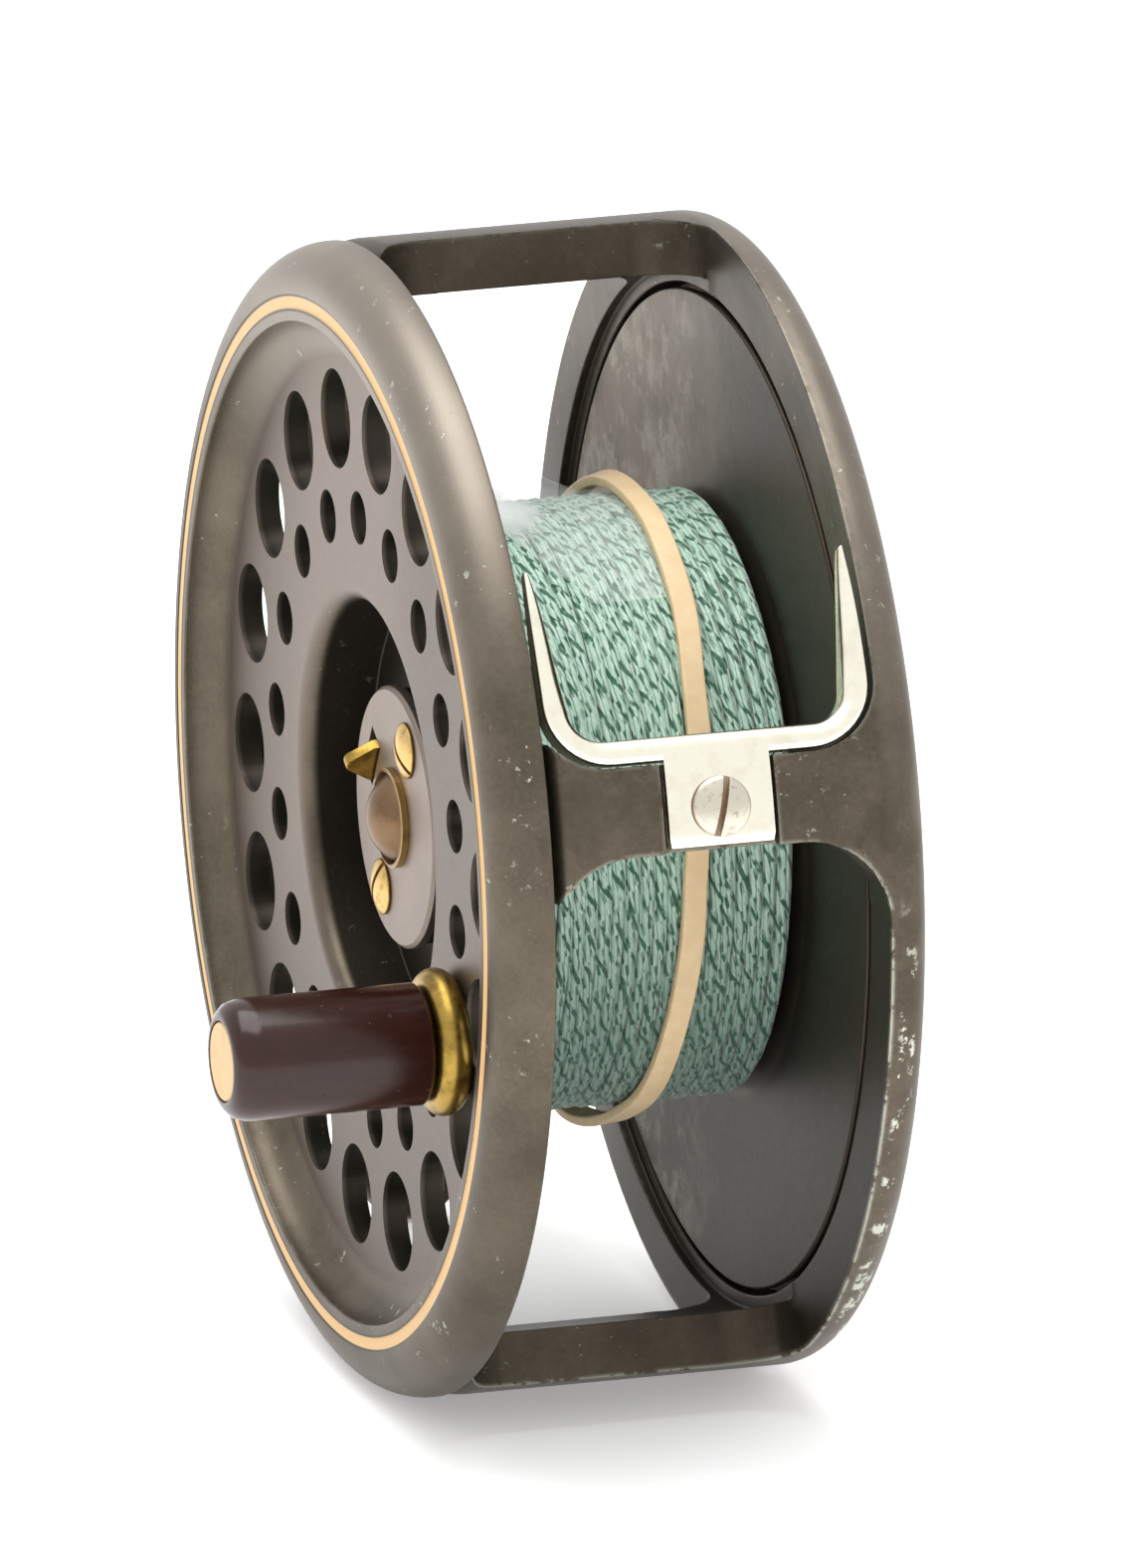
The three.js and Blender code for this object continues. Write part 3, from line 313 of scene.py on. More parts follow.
def turned(name, profile, rounding=0.0, segments=96, y=0.0, z=0.0):
    """A profile of (depth, radius) revolved about the X axis; one that starts on it stays open."""
    closed = profile[0][1] > 1e-6
    if rounding:
        profile = eased(profile, rounding, closed)
    vertices = []
    faces = []
    count = len(profile)
    for k in range(segments):
        turn = 2 * pi * k / segments
        vertices += [(x, y + r * cos(turn), z + r * sin(turn)) for x, r in profile]
    for k in range(segments):
        a = k * count
        b = ((k + 1) % segments) * count
        for i in range(count if closed else count - 1):
            j = (i + 1) % count
            if profile[i][1] < 1e-6:
                faces.append((a + i, a + j, b + j))
            elif profile[j][1] < 1e-6:
                faces.append((a + i, a + j, b + i))
            else:
                faces.append((a + i, a + j, b + j, b + i))
    return object_from(name, vertices, faces)


def rod(front, back, radius, y=0.0, z=0.0, segments=48):
    return turned("rod", [(front, 0), (front, radius), (back, radius), (back, 0)], 0, segments, y, z)


def along_x(a, b, height):
    return (height, a, b)


def extruded(name, outline, low, high, place=along_x):
    """A flat outline pushed from low to high; place turns (a, b, height) into reel coordinates."""
    count = len(outline)
    vertices = [place(a, b, height) for height in (low, high) for a, b in outline]
    faces = [tuple(range(count - 1, -1, -1)), tuple(range(count, 2 * count))]
    for i in range(count):
        j = (i + 1) % count
        faces.append((i, j, count + j, count + i))
    return object_from(name, vertices, faces)


def brick(x0, x1, y0, y1, z0, z1):
    return extruded("brick", [(y0, z0), (y1, z0), (y1, z1), (y0, z1)], x0, x1)


def spun(degrees, axis):
    return Matrix.Rotation(radians(degrees), 4, axis)


def moved(body, matrix):
    body.data.transform(matrix)
    return body


def turned_out(body, angle):
    """A shape whose Z points outwards, moved to its angle round the cage."""
    return moved(body, spun(90 - angle, "X"))


def standing(body, x, y):
    """A shape made along X with its front at -X, stood up so that its front faces Z."""
    return moved(body, Matrix.Translation((x, y, 0)) @ spun(90, "Y"))


def combined(body, operation, *tools):
    """The body with separate closed tools cut away, joined on or kept in common, in one boolean."""
    if len(tools) > 1:
        shaped = bmesh.new()
        for tool in tools:
            shaped.from_mesh(tool.data)
        shaped.to_mesh(tools[0].data)
        shaped.free()
    modifier = body.modifiers.new("boolean", "BOOLEAN")
    modifier.operation = operation
    modifier.solver = "EXACT"
    modifier.object = tools[0]
    settled(body)
    for tool in tools:
        bpy.data.objects.remove(tool)
    return body


def cut(body, *tools):
    return combined(body, "DIFFERENCE", *tools)


def settled(body):
    """The object with its modifiers applied."""
    graph = bpy.context.evaluated_depsgraph_get()
    graph.update()
    mesh = bpy.data.meshes.new_from_object(body.evaluated_get(graph))
    body.modifiers.clear()
    body.data = mesh
    return body


def softened(body, width, angle=40, clamped=True):
    modifier = body.modifiers.new("edges", "BEVEL")
    modifier.width = width
    modifier.segments = 2
    modifier.limit_method = "ANGLE"
    modifier.angle_limit = radians(angle)
    modifier.use_clamp_overlap = clamped
    return settled(body)


def finished(body, rides, look, *replaces, sharp=40):
    """Moves a shape into the row frame, gives it its material, smooths it, hangs it on its body and
    hides what it replaces.
    """
    slot, material = look
    mesh = body.data
    mesh.transform(TO_ROW)
    mesh.materials.clear()
    mesh.materials.append(material)
    mesh.shade_smooth()
    mesh.set_sharp_from_angle(angle=radians(sharp))
    body.modifiers.new("normals", "WEIGHTED_NORMAL").keep_sharp = True
    settled(body)
    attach(body, rides)
    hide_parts(*replaces)


def read_off(points, at):
    """The value at a place on a line through (place, value) points."""
    for (a, low), (b, high) in zip(points, points[1:]):
        if at <= b:
            return low + (high - low) * (at - a) / (b - a)
    return points[-1][1]


# ---------- materials ----------


class Value:
    """A node's output, which can be reckoned with like a number."""

    def __init__(self, look, socket):
        self.look = look
        self.socket = socket

    def __mul__(self, other):
        return self.look.math("MULTIPLY", self, other)

    def __add__(self, other):
        return self.look.math("ADD", self, other)

    def __sub__(self, other):
        return self.look.math("SUBTRACT", self, other)

    def __rsub__(self, other):
        return self.look.math("SUBTRACT", other, self)

    def __abs__(self):
        return self.look.math("ABSOLUTE", self)

    def band(self, low, high, soft):
        """One between low and high, with edges soft wide."""
        return self.ramp(low - soft, low + soft) * self.ramp(high + soft, high - soft)

    def ramp(self, low, high, kind="SMOOTHSTEP"):
        """Nought at low, rising to one at high."""
        ends = (1.0, 0.0) if low > high else (0.0, 1.0)
        inputs = {"Value": self, "From Min": min(low, high), "From Max": max(low, high)}
        inputs.update({"To Min": ends[0], "To Max": ends[1]})
        return self.look.made("MapRange", "Result", inputs, interpolation_type=kind)

    def mix(self, a, b):
        """From a to b as this goes from nought to one."""
        return self.look.made("Mix", "Result", {"Factor": self, "A": a, "B": b}, data_type="RGBA")

    def split(self):
        first = self.look.made("SeparateXYZ", 0, {0: self})
        return [Value(self.look, output) for output in first.socket.node.outputs]

    def stretched(self, x, y, z):
        return self.look.made("Mapping", 0, {"Vector": self, "Scale": (x, y, z)})

    def noise(self, scale, detail=3.0, roughness=0.55, distortion=0.0):
        inputs = {"Vector": self, "Scale": scale, "Detail": detail, "Roughness": roughness}
        return self.look.made("TexNoise", "Fac", {**inputs, "Distortion": distortion})

    def spots(self, scale):
        return self.look.made("TexVoronoi", "Distance", {"Vector": self, "Scale": scale})

    def bump(self, distance, strength, onto=None):
        inputs = {"Distance": distance * MM, "Strength": strength, "Height": self}
        if onto is not None:
            inputs["Normal"] = onto
        return self.look.made("Bump", "Normal", inputs)


def most(a, b, clamp=False):
    return a.look.math("MAXIMUM", a, b, clamp=clamp)


class Look:
    """A node material, with short calls for the nodes that the looks here are made of."""

    def __init__(self, name):
        self.material = bpy.data.materials.new(name)
        self.material.use_nodes = True
        self.tree = self.material.node_tree
        self.shader = self.tree.nodes["Principled BSDF"]

    def feed(self, socket, value):
        if isinstance(value, Value):
            self.tree.links.new(value.socket, socket)
        else:
            socket.default_value = value

    def fixed(self, **values):
        for name, value in values.items():
            self.shader.inputs[name.replace("_", " ")].default_value = value

    def set(self, name, value):
        self.feed(self.shader.inputs[name], value)

    def made(self, kind, output, inputs, **settings):
        """A new node's output; its inputs go by name or number."""
        node = self.tree.nodes.new("ShaderNode" + kind)
        for name, value in settings.items():
            setattr(node, name, value)
        for key, value in inputs.items():
            self.feed(node.inputs[key], value)
        return Value(self, node.outputs[output])

    def math(self, operation, a, b=0.0, clamp=False):
        return self.made("Math", 0, {0: a, 1: b}, operation=operation, use_clamp=clamp)

    def where(self):
        """The point in reel millimetres."""
        here = self.made("TexCoord", "Object", {})
        origin = (spool_low.x, SPINDLE.y, SPINDLE.z)
        shift = self.made("VectorMath", 0, {0: here, 1: origin}, operation="SUBTRACT")
        return self.made("VectorMath", 0, {0: shift, "Scale": 1 / MM}, operation="SCALE")

    def joined(self, x, y, z=0.0):
        return self.made("CombineXYZ", 0, {0: x, 1: y, 2: z})

    def radius(self, y, z):
        return self.math("SQRT", y * y + z * z)

    def edge_wear(self, size):
        """One where the surface turns a convex corner tighter than about size millimetres."""
        bevel = self.made("Bevel", 0, {"Radius": size * MM}, samples=6)
        normal = self.made("NewGeometry", "Normal", {})
        dot = self.made("VectorMath", "Value", {0: bevel, 1: normal}, operation="DOT_PRODUCT")
        return dot.ramp(0.995, 0.9)


def colour(red, green, blue, alpha=1.0):
    """A colour given as display values from 0 to 255."""
    def linear(value):
        share = value / 255
        return share / 12.92 if share < 0.04045 else ((share + 0.055) / 1.055) ** 2.4

    return (linear(red), linear(green), linear(blue), alpha)


BRONZE = colour(106, 97, 84)
BRONZE_DARK = colour(80, 72, 61)
# The spool web's lighter grey: the paint's tone, lightened as painted light for the light the face
# catches.
PAINTED_LIT_WEB_GREY = colour(120, 108, 99)
RIM_LIT = colour(172, 163, 152)
# Dark for painted shade in the well, inside the holes and along the stripe's edges.
PAINTED_SHADE_DARK = colour(42, 38, 32)
COVER_GREY = colour(142, 129, 120)
# Brown for painted shade, and also for the flange's random stains.
PAINTED_SHADE_AND_STAIN_BROWN = colour(50, 45, 36)
FLANGE_BROWN = colour(108, 94, 78)
# Painted highlight colour for the rear flange.
FLANGE_PAINTED_HIGHLIGHT = colour(158, 154, 142)
COVER_DARK = colour(126, 114, 106)
BARE_ALLOY = colour(196, 198, 184)
GOLD = colour(214, 172, 112)


def painted_metal(
    name, worn, chips, stripe_and_painted_light=False, mottled=0.0, outside_wear_and_painted_light=0.0, paints=(BRONZE_DARK, BRONZE)
):
    """The satin brown finish, with fine turning marks, stains, chips, bare metal at edges, painted shade
    and highlights.
    """
    look = Look(name)
    point = look.where()
    x, y, z = point.split()
    radius = look.radius(y, z)
    cloud = point.noise(0.09, 4, 0.6)
    grain = point.noise(2.2, 5, 0.65)
    paint = (cloud * 0.7 + grain * 0.3).ramp(0.32, 0.68).mix(*paints)
    if mottled:
        blotch = point.noise(0.16, 6, 0.7, 0.6)
        paint = (blotch.ramp(0.42, 0.62) * mottled).mix(paint, colour(66, 56, 48))
    # Chips: ragged bare spots, gathered where the slow cloud is high.
    flake = point.noise(0.85, 5, 0.72).ramp(0.63, 0.655)
    gather = point.noise(0.11, 2, 0.5).ramp(0.5, 0.62)
    small = point.noise(2.0, 4, 0.7).ramp(0.665, 0.69)
    speckled = small * point.noise(0.2, 2).ramp(0.54, 0.62)
    chipped = most(flake * gather, speckled) * chips
    edge = look.edge_wear(0.6 if outside_wear_and_painted_light else 0.35)
    broken = point.noise(0.35, 5, 0.7).ramp(0.58 - 0.2 * worn, 0.66 - 0.2 * worn)
    handled = z.ramp(14, -6) * 0.85 + 0.15
    rubbed = edge * broken * handled
    if outside_wear_and_painted_light:
        rubbed *= radius.ramp(outside_wear_and_painted_light, outside_wear_and_painted_light + 0.8)
        ragged = point.noise(0.42, 6, 0.75).ramp(0.55, 0.58)
        rolled = x.band(33.0, 34.3, 0.3) * radius.ramp(44.6, 45.2)
        low_near = z.ramp(8, -12) * y.ramp(8, -4)
        rubbed = most(rubbed, rolled * ragged * low_near)
    bare = most(chipped, look.math("MULTIPLY", rubbed, worn * 2, clamp=True), clamp=True)
    shade = bare.mix(paint, BARE_ALLOY)
    metal = bare * 0.1 + 0.86
    if outside_wear_and_painted_light:
        # Painted shade: the land inside the back, darker lower down, and the top and bottom pillars.
        inside = radius.ramp(45.9, 45.5) * x.band(30.9, 32.5, 0.2)
        inside *= z.ramp(36, 8) * 0.7 + 0.1
        shaded_pillars = abs(z).ramp(34, 40) * x.ramp(31.0, 29.0)
        shade = most(inside, shaded_pillars * 0.45).mix(shade, PAINTED_SHADE_AND_STAIN_BROWN)
        # Painted highlight: the cage's outer back edge lighter towards the top.
        back_edge = x.ramp(31.6, 32.8) * z.ramp(4, 36)
        back_edge *= radius.ramp(43.8, 45.2)
        shade = (back_edge * 0.3).mix(shade, RIM_LIT)
    if stripe_and_painted_light:
        lit = z.ramp(18, 44) * x.ramp(7.0, 2.0)
        shade = (lit * 0.5).mix(shade, RIM_LIT)
        # Painted shade on the rim: darker on its far side and low on its near side.
        far_rim = y.ramp(26, 42) * z.ramp(34, 20)
        low_rim = y.ramp(8, -8) * z.ramp(-8, -24)
        painted_rim_shade = most(far_rim * 0.42, low_rim * 0.2)
        shade = (painted_rim_shade * radius.ramp(41.0, 42.0)).mix(shade, PAINTED_SHADE_AND_STAIN_BROWN)
        on_flange = radius.ramp(24.0, 25.0) * x.ramp(30.0, 31.0)
        # Mottled painted highlight, put on the flange's far side only.
        mottled_flange_highlight = point.noise(0.17, 7, 0.7, 0.1).ramp(0.44, 0.62) * 0.5
        shade = (on_flange * 0.7).mix(shade, FLANGE_BROWN)
        shaded = most(y.ramp(14, -12), z.ramp(12, -10))
        shade = (on_flange * shaded * 0.84).mix(shade, PAINTED_SHADE_AND_STAIN_BROWN)
        shade = (on_flange * mottled_flange_highlight * y.ramp(-4, 16)).mix(shade, FLANGE_PAINTED_HIGHLIGHT)
        # Random stains, in the same brown as the painted shade.
        stained = point.noise(0.24, 7, 0.7, 0.1).ramp(0.5, 0.62) * 0.4
        shade = (on_flange * stained).mix(shade, PAINTED_SHADE_AND_STAIN_BROWN)
        # The web face is mixed to a lighter grey: its paint tone, lightened as painted light for the
        # light falling on it.
        on_web = radius.band(18.0, 37.4, 0.5) * x.ramp(4.4, 3.9)
        shade = (on_web * 0.9).mix(shade, PAINTED_LIT_WEB_GREY)
        # Painted shade: the web darker towards the bottom and towards either side.
        low_web = z.ramp(4, -26) * 0.42
        side_web = most(y.ramp(10, 30) * 0.3, y.ramp(-2, -16) * 0.34)
        shade = (on_web * most(low_web, side_web)).mix(shade, PAINTED_SHADE_AND_STAIN_BROWN)
        # Painted shade inside the web's holes and on what shows through them.
        in_hole = radius.band(19.6, 36.4, 0.3) * x.band(3.3, 7.0, 0.2)
        shade = (in_hole * 0.85).mix(shade, PAINTED_SHADE_DARK)
        # Painted shade inside the central well.
        in_well = radius.ramp(17.9, 17.3) * x.ramp(3.6, 4.6)
        shade = in_well.mix(shade, PAINTED_SHADE_DARK)
        # Painted shade: thin dark rings along both edges of the gold stripe's groove.
        line_in = radius.band(STRIPE_INNER - 0.22, STRIPE_INNER - 0.04, 0.05)
        line_out = radius.band(STRIPE_OUTER + 0.02, STRIPE_OUTER + 0.2, 0.05)
        stripe_edge_shade = most(line_in, line_out) * x.ramp(0.45, 0.35)
        shade = (stripe_edge_shade * 0.75).mix(shade, PAINTED_SHADE_DARK)
        on_rim = radius.band(STRIPE_INNER, STRIPE_OUTER, 0.05) * x.ramp(0.45, 0.35)
        rubbed_gold = on_rim * point.noise(1.3, 4).ramp(0.78, 0.7)
        shade = rubbed_gold.mix(shade, GOLD)
        metal = metal - rubbed_gold * 0.86
    look.set("Base Color", shade)
    look.set("Metallic", metal)
    look.set("Roughness", grain * 0.14 + 0.36)
    lines = look.joined(x * 6.0, radius * 6.0).noise(1.0, 3)
    turned_marks = lines.bump(0.02, 0.35)
    pits = point.noise(7.0, 3).bump(0.03, 0.3, turned_marks)
    sunk = (1.0 - chipped).bump(0.06, 0.6, pits)
    look.set("Normal", sunk)
    return look.material


def polished(name, tone, rough, scratch=0.2, tarnish=None, dark=0.25, brassy=None):
    """A bare metal, with fine scratches and, where asked, a slow tarnish or an edge worn to brass."""
    look = Look(name)
    point = look.where()
    scratches = point.stretched(0.6, 7.0, 3.0).noise(1.6, 6, 0.7, 0.3)
    cloud = point.noise(0.5, 5, 0.6)
    shade = tone
    if tarnish is not None:
        shade = (cloud.ramp(0.45, 0.7) * dark).mix(tone, tarnish)
    if brassy is not None:
        _, y, z = point.split()
        shade = look.radius(y, z).ramp(brassy, brassy + 0.1).mix(shade, colour(172, 142, 88))
    look.set("Base Color", shade)
    look.fixed(Metallic=1.0)
    look.set("Roughness", scratches * scratch + rough)
    fine = scratches.bump(0.012, 0.35)
    look.set("Normal", point.noise(5.0, 4).bump(0.015, 0.25, fine))
    return look.material


def grip_resin():
    look = Look("grip_resin")
    point = look.where()
    cloud = point.stretched(0.25, 1.2, 1.2).noise(1.0, 5, 0.6, 0.4)
    look.set("Base Color", cloud.ramp(0.3, 0.75).mix(colour(40, 14, 8), colour(50, 20, 13)))
    nick = (point.spots(0.7) + point.noise(3.0, 4) * 0.2).ramp(0.2, 0.17)
    smear = point.noise(0.8, 5, 0.7)
    look.set("Roughness", smear * 0.14 + 0.14 + nick * 0.3)
    look.fixed(IOR=1.43)
    look.shader.inputs["Coat Weight"].default_value = 0.08
    look.shader.inputs["Coat Roughness"].default_value = 0.12
    ripple = point.noise(1.2, 3).bump(0.03, 0.15)
    look.set("Normal", (1.0 - nick).bump(0.05, 0.4, ripple))
    return look.material


def braided_line():
    """Pale mint yarns twisted with dark green ones; the UV map runs round the line and along it."""
    look = Look("braided_line")
    around, along, _ = look.made("UVMap", 0, {}, uv_map="braid").split()
    point = look.where()
    wander = point.noise(0.26, 0)
    yarns = around * 7.0 + along * (1 / 7.5) + wander * 0.8
    yarn = look.math("FLOOR", yarns)
    off = look.math("FRACT", yarns) - 0.5
    cells = along * (1 / 2.4) + yarn * 0.37 + off * 0.5
    end = abs(look.math("FRACT", cells) - 0.5)
    edge = abs(off) + end.ramp(0.22, 0.5) * 0.34
    seed = look.joined(yarn * 3.17, look.math("FLOOR", cells) * 1.73)
    depth = seed.noise(1.0, 0).ramp(0.4, 0.56)
    groove = edge.ramp(0.37, 0.52)
    lay = along * (1 / 6.5) + around + wander * 0.4
    tracer = abs(look.math("FRACT", lay * 2.0) - 0.5)
    stretched = look.joined(lay * 9.0, along * 0.9)
    ragged = stretched.noise(1.0, 2, 0.5) * 0.2 - 0.1
    broken = look.joined(along * 0.5, yarn).noise(1.0, 1).ramp(0.42, 0.5)
    dash = (tracer + ragged).ramp(0.36, 0.43) * broken
    green = most(dash * 0.95, groove * (depth * 0.5 + 0.45))
    fibres = look.joined(lay * 40.0, along * 0.6).noise(1.0, 3)
    pale = fibres.ramp(0.3, 0.7).mix(colour(156, 200, 178), colour(214, 234, 220))
    deep = fibres.ramp(0.3, 0.7).mix(colour(0, 62, 38), colour(10, 102, 66))
    shaded = point.split()[2].ramp(6, -16) * 0.6
    look.set("Base Color", shaded.mix(green.mix(pale, deep), colour(20, 60, 44)))
    look.fixed(Roughness=0.62)
    look.shader.inputs["Sheen Weight"].default_value = 0.25
    look.shader.inputs["Sheen Roughness"].default_value = 0.5
    relief = (0.5 - edge * 0.8).bump(0.22, 0.9)
    look.set("Normal", fibres.bump(0.05, 0.5, relief))
    return look.material


def band_rubber():
    look = Look("band_rubber")
    point = look.where()
    cloud = point.noise(0.6, 5, 0.65)
    look.set("Base Color", cloud.ramp(0.3, 0.7).mix(colour(230, 201, 156), colour(238, 211, 168)))
    look.set("Roughness", cloud * 0.2 + 0.5)
    look.fixed(Subsurface_Weight=0.15)
    look.shader.inputs["Subsurface Radius"].default_value = (0.0008, 0.0005, 0.0003)
    look.set("Normal", point.noise(6.0, 4).bump(0.03, 0.4))
    return look.material


def clear_film():
    """Whitish see-through film, milkier where it creases, with a painted white sheen at its upper left.
    """
    look = Look("clear_film")
    point = look.where()
    haze = point.noise(0.22, 4, 0.6, 0.5)
    crease = point.stretched(2.4, 0.35, 0.35).noise(1.0, 4, 0.6)
    milk = haze * 0.5 + crease * 0.35
    x, y, _ = point.split()
    # Painted sheen: the film whiter and nearly opaque towards its upper left, near its raised corner.
    lifted = y.ramp(-9, 2) * x.ramp(19, 14)
    look.set("Base Color", crease.mix(colour(232, 240, 234), colour(250, 252, 250)))
    veil = milk.ramp(0.25, 0.6, "LINEAR") * 0.2 + 0.02
    look.set("Alpha", most(veil, lifted * 0.85))
    look.set("Roughness", crease * 0.25 + 0.12)
    look.set("Normal", crease.bump(0.04, 0.35))
    return look.material


def screw_head(name, tone, rough, residue, outward=None, along=None):
    """A slotted screw's metal, dirty in its slot: below outward (radius) or behind along (depth)."""
    look = Look(name)
    point = look.where()
    cloud = point.noise(1.4, 5, 0.7)
    x, y, z = point.split()
    if outward is not None:
        low = look.radius(y, z).ramp(outward, outward - 0.2)
    else:
        low = x.ramp(along, along + 0.2)
    dirt = most(cloud.ramp(0.52, 0.68) * 0.45, low * 0.85)
    look.set("Base Color", dirt.mix(tone, residue))
    look.fixed(Metallic=0.95)
    look.set("Roughness", cloud * 0.3 + rough)
    look.set("Normal", point.noise(4.0, 5).bump(0.03, 0.35))
    return look.material


SPOOL_LOOK = "painted_alloy", painted_metal("spool_paint_and_painted_light", 0.3, 0.9, stripe_and_painted_light=True)
CAGE_LOOK = "painted_alloy", painted_metal("cage_paint_and_painted_light", 0.8, 0.6, mottled=0.35, outside_wear_and_painted_light=43.0)
PLAIN_LOOK = "painted_alloy", painted_metal("small_parts_finish", 0.3, 0.2)
COVER_LOOK = "painted_alloy", painted_metal("cover_finish", 0.2, 0.1, paints=(COVER_DARK, COVER_GREY))
BRASS, BRASS_TARNISH = colour(172, 142, 70), colour(98, 76, 30)
PIN_BRASS, PIN_TARNISH = colour(216, 182, 140), colour(180, 148, 104)
NICKEL, NICKEL_TARNISH = colour(250, 246, 228), colour(206, 194, 156)
CAP_BRONZE, CAP_TARNISH = colour(124, 99, 75), colour(98, 78, 60)
BRASS_LOOK = "brass", polished("tarnished_brass", BRASS, 0.22, 0.22, BRASS_TARNISH, 0.75)
PIN_LOOK = "brass", polished("pin_brass", PIN_BRASS, 0.45, 0.2, PIN_TARNISH, 0.35)
STEEL_LOOK = "steel", polished("turned_steel", colour(176, 178, 180), 0.24)
SPRING_LOOK = "spring_steel", polished("spring_strip", colour(112, 116, 124), 0.3)
BRONZE_LOOK = "bronze", polished("bearing_bronze", colour(176, 126, 78), 0.34)
NICKEL_LOOK = "nickel_silver", polished("nickel_silver", NICKEL, 0.1, 0.14, NICKEL_TARNISH, 0.22)
CAP_LOOK = "bronze_cap", polished("cap_bronze", CAP_BRONZE, 0.26, 0.14, CAP_TARNISH, 0.5, 3.86)
SCREW_LOOK = "nickel_silver", screw_head(
    "guard_screw_metal", colour(212, 206, 190), 0.16, colour(116, 78, 42), outward=GUARD_OUTER + 0.4
)
COVER_SCREW_LOOK = "brass", screw_head(
    "cover_screw_brass", colour(208, 176, 112), 0.2, colour(96, 68, 28), along=COVER_FRONT - 0.3
)
GRIP_LOOK = "brown_resin", grip_resin()
LINE_LOOK = "braided_line", braided_line()
BAND_LOOK = "band_rubber", band_rubber()
FILM_LOOK = "clear_film", clear_film()


# ---------- camera ----------

CAMERA_DISTANCE = 4000.0
CAMERA_AZIMUTH = -17.28
CAMERA_ELEVATION = 16.9
PIXELS_PER_MM = 12.65
PICTURE_HEIGHT = 1576
SENSOR = 36.0
MIDDLE_DEPTH_SEEN = 18.0
SHIFT_RIGHT = 1.55
SHIFT_UP = 1.56


def build_camera():
    azimuth = radians(CAMERA_AZIMUTH)
    elevation = radians(CAMERA_ELEVATION)
    right = Vector((cos(azimuth), sin(azimuth), 0))
    flat = Vector((-sin(azimuth), cos(azimuth), 0)) * cos(elevation)
    ahead = flat - Vector((0, 0, sin(elevation)))
    up = right.cross(ahead)
    middle = Vector((MIDDLE_DEPTH_SEEN, 0, 0)) + right * SHIFT_RIGHT + up * SHIFT_UP
    eye = middle - ahead * CAMERA_DISTANCE
    data = bpy.data.cameras.new("camera")
    data.sensor_width = SENSOR
    data.lens = PIXELS_PER_MM * CAMERA_DISTANCE / PICTURE_HEIGHT * SENSOR
    data.clip_start = 0.01
    data.clip_end = 20.0
    camera = linked("camera", data)
    rotation = Matrix((right, up, -ahead)).transposed().to_4x4()
    camera.matrix_world = Matrix.Translation(TO_ROW @ eye) @ rotation
    bpy.context.scene.camera = camera


# ---------- line ----------


def line_path():
    """The wound line's centreline, layer on layer from the arbor outwards, in reel millimetres."""
    first = ARBOR_RADIUS + LINE_DIAMETER / 2 + 0.1
    last = LINE_RADIUS - LINE_DIAMETER / 2 - 0.05
    low = LINE_FRONT + LINE_DIAMETER / 2 + 0.05
    high = LINE_BACK - LINE_DIAMETER / 2 - 0.05
    points = []
    steps = TURNS_PER_LAYER * POINTS_PER_TURN
    for layer in range(LINE_LAYERS):
        radius = first + (last - first) * layer / (LINE_LAYERS - 1)
        loose = 0.2 if layer == LINE_LAYERS - 1 else 0.08
        for k in range(steps):
            share = k / steps
            across = share if layer % 2 == 0 else 1 - share
            turn = 360 * k / POINTS_PER_TURN + 205
            y, z = polar(1.0, turn)
            number = (layer * steps + k) / POINTS_PER_TURN
            waver = noise.noise(Vector((y * 0.9, z * 0.9, number * 0.55))) * loose * 2
            lift = noise.noise(Vector((y * 1.7 + 9, z * 1.7, number * 1.3))) * 0.12
            depth = min(max(low + (high - low) * across + waver, low), high)
            reach = min(radius + lift, last)
            points.append(Vector((depth, y * reach, z * reach)))
    return points


def tube_along(name, path, radius, sides):
    """A mesh tube with a UV map: U round it from 0 to 1, V along it in millimetres."""
    shaped = bmesh.new()
    layer = shaped.loops.layers.uv.new("braid")
    rings = []
    travelled = [0.0]
    for a, b in zip(path, path[1:]):
        travelled.append(travelled[-1] + (b - a).length)
    for i, point in enumerate(path):
        ahead = (path[min(i + 1, len(path) - 1)] - path[max(i - 1, 0)]).normalized()
        side = ahead.cross(Vector((0, point.y, point.z)).normalized()).normalized()
        out = side.cross(ahead)
        ring = []
        for k in range(sides):
            turn = 2 * pi * k / sides
            around = out * cos(turn) * TUBE_HEIGHT + side * sin(turn) * TUBE_WIDTH
            ring.append(shaped.verts.new(point + around * radius))
        rings.append(ring)
    for i, (ring, ahead) in enumerate(zip(rings, rings[1:])):
        for k in range(sides):
            j = (k + 1) % sides
            face = shaped.faces.new((ring[k], ring[j], ahead[j], ahead[k]))
            corners = ((k, i), (k + 1, i), (k + 1, i + 1), (k, i + 1))
            for loop, (u, v) in zip(face.loops, corners):
                loop[layer].uv = (u / sides, travelled[v])
    shaped.faces.new(list(reversed(rings[0])))
    shaped.faces.new(rings[-1])
    return meshed(name, shaped, bpy.data.meshes.new(name)), travelled[-1]


def build_line():
    path = line_path()
    line, length = tube_along("wound_line", path, LINE_DIAMETER / 2, 10)
    finished(line, "spool", LINE_LOOK, "fly_line", sharp=60)


def band_middle(angle):
    sway = 2.6 if angle > 0 else 1.1
    return 22.5 + sway * sin(radians(angle))


def hump(value, centre, width):
    """A smooth rise to one at the centre, nought beyond the width on either side."""
    share = min(abs(value - centre) / width, 1)
    return (1 + cos(pi * share)) / 2


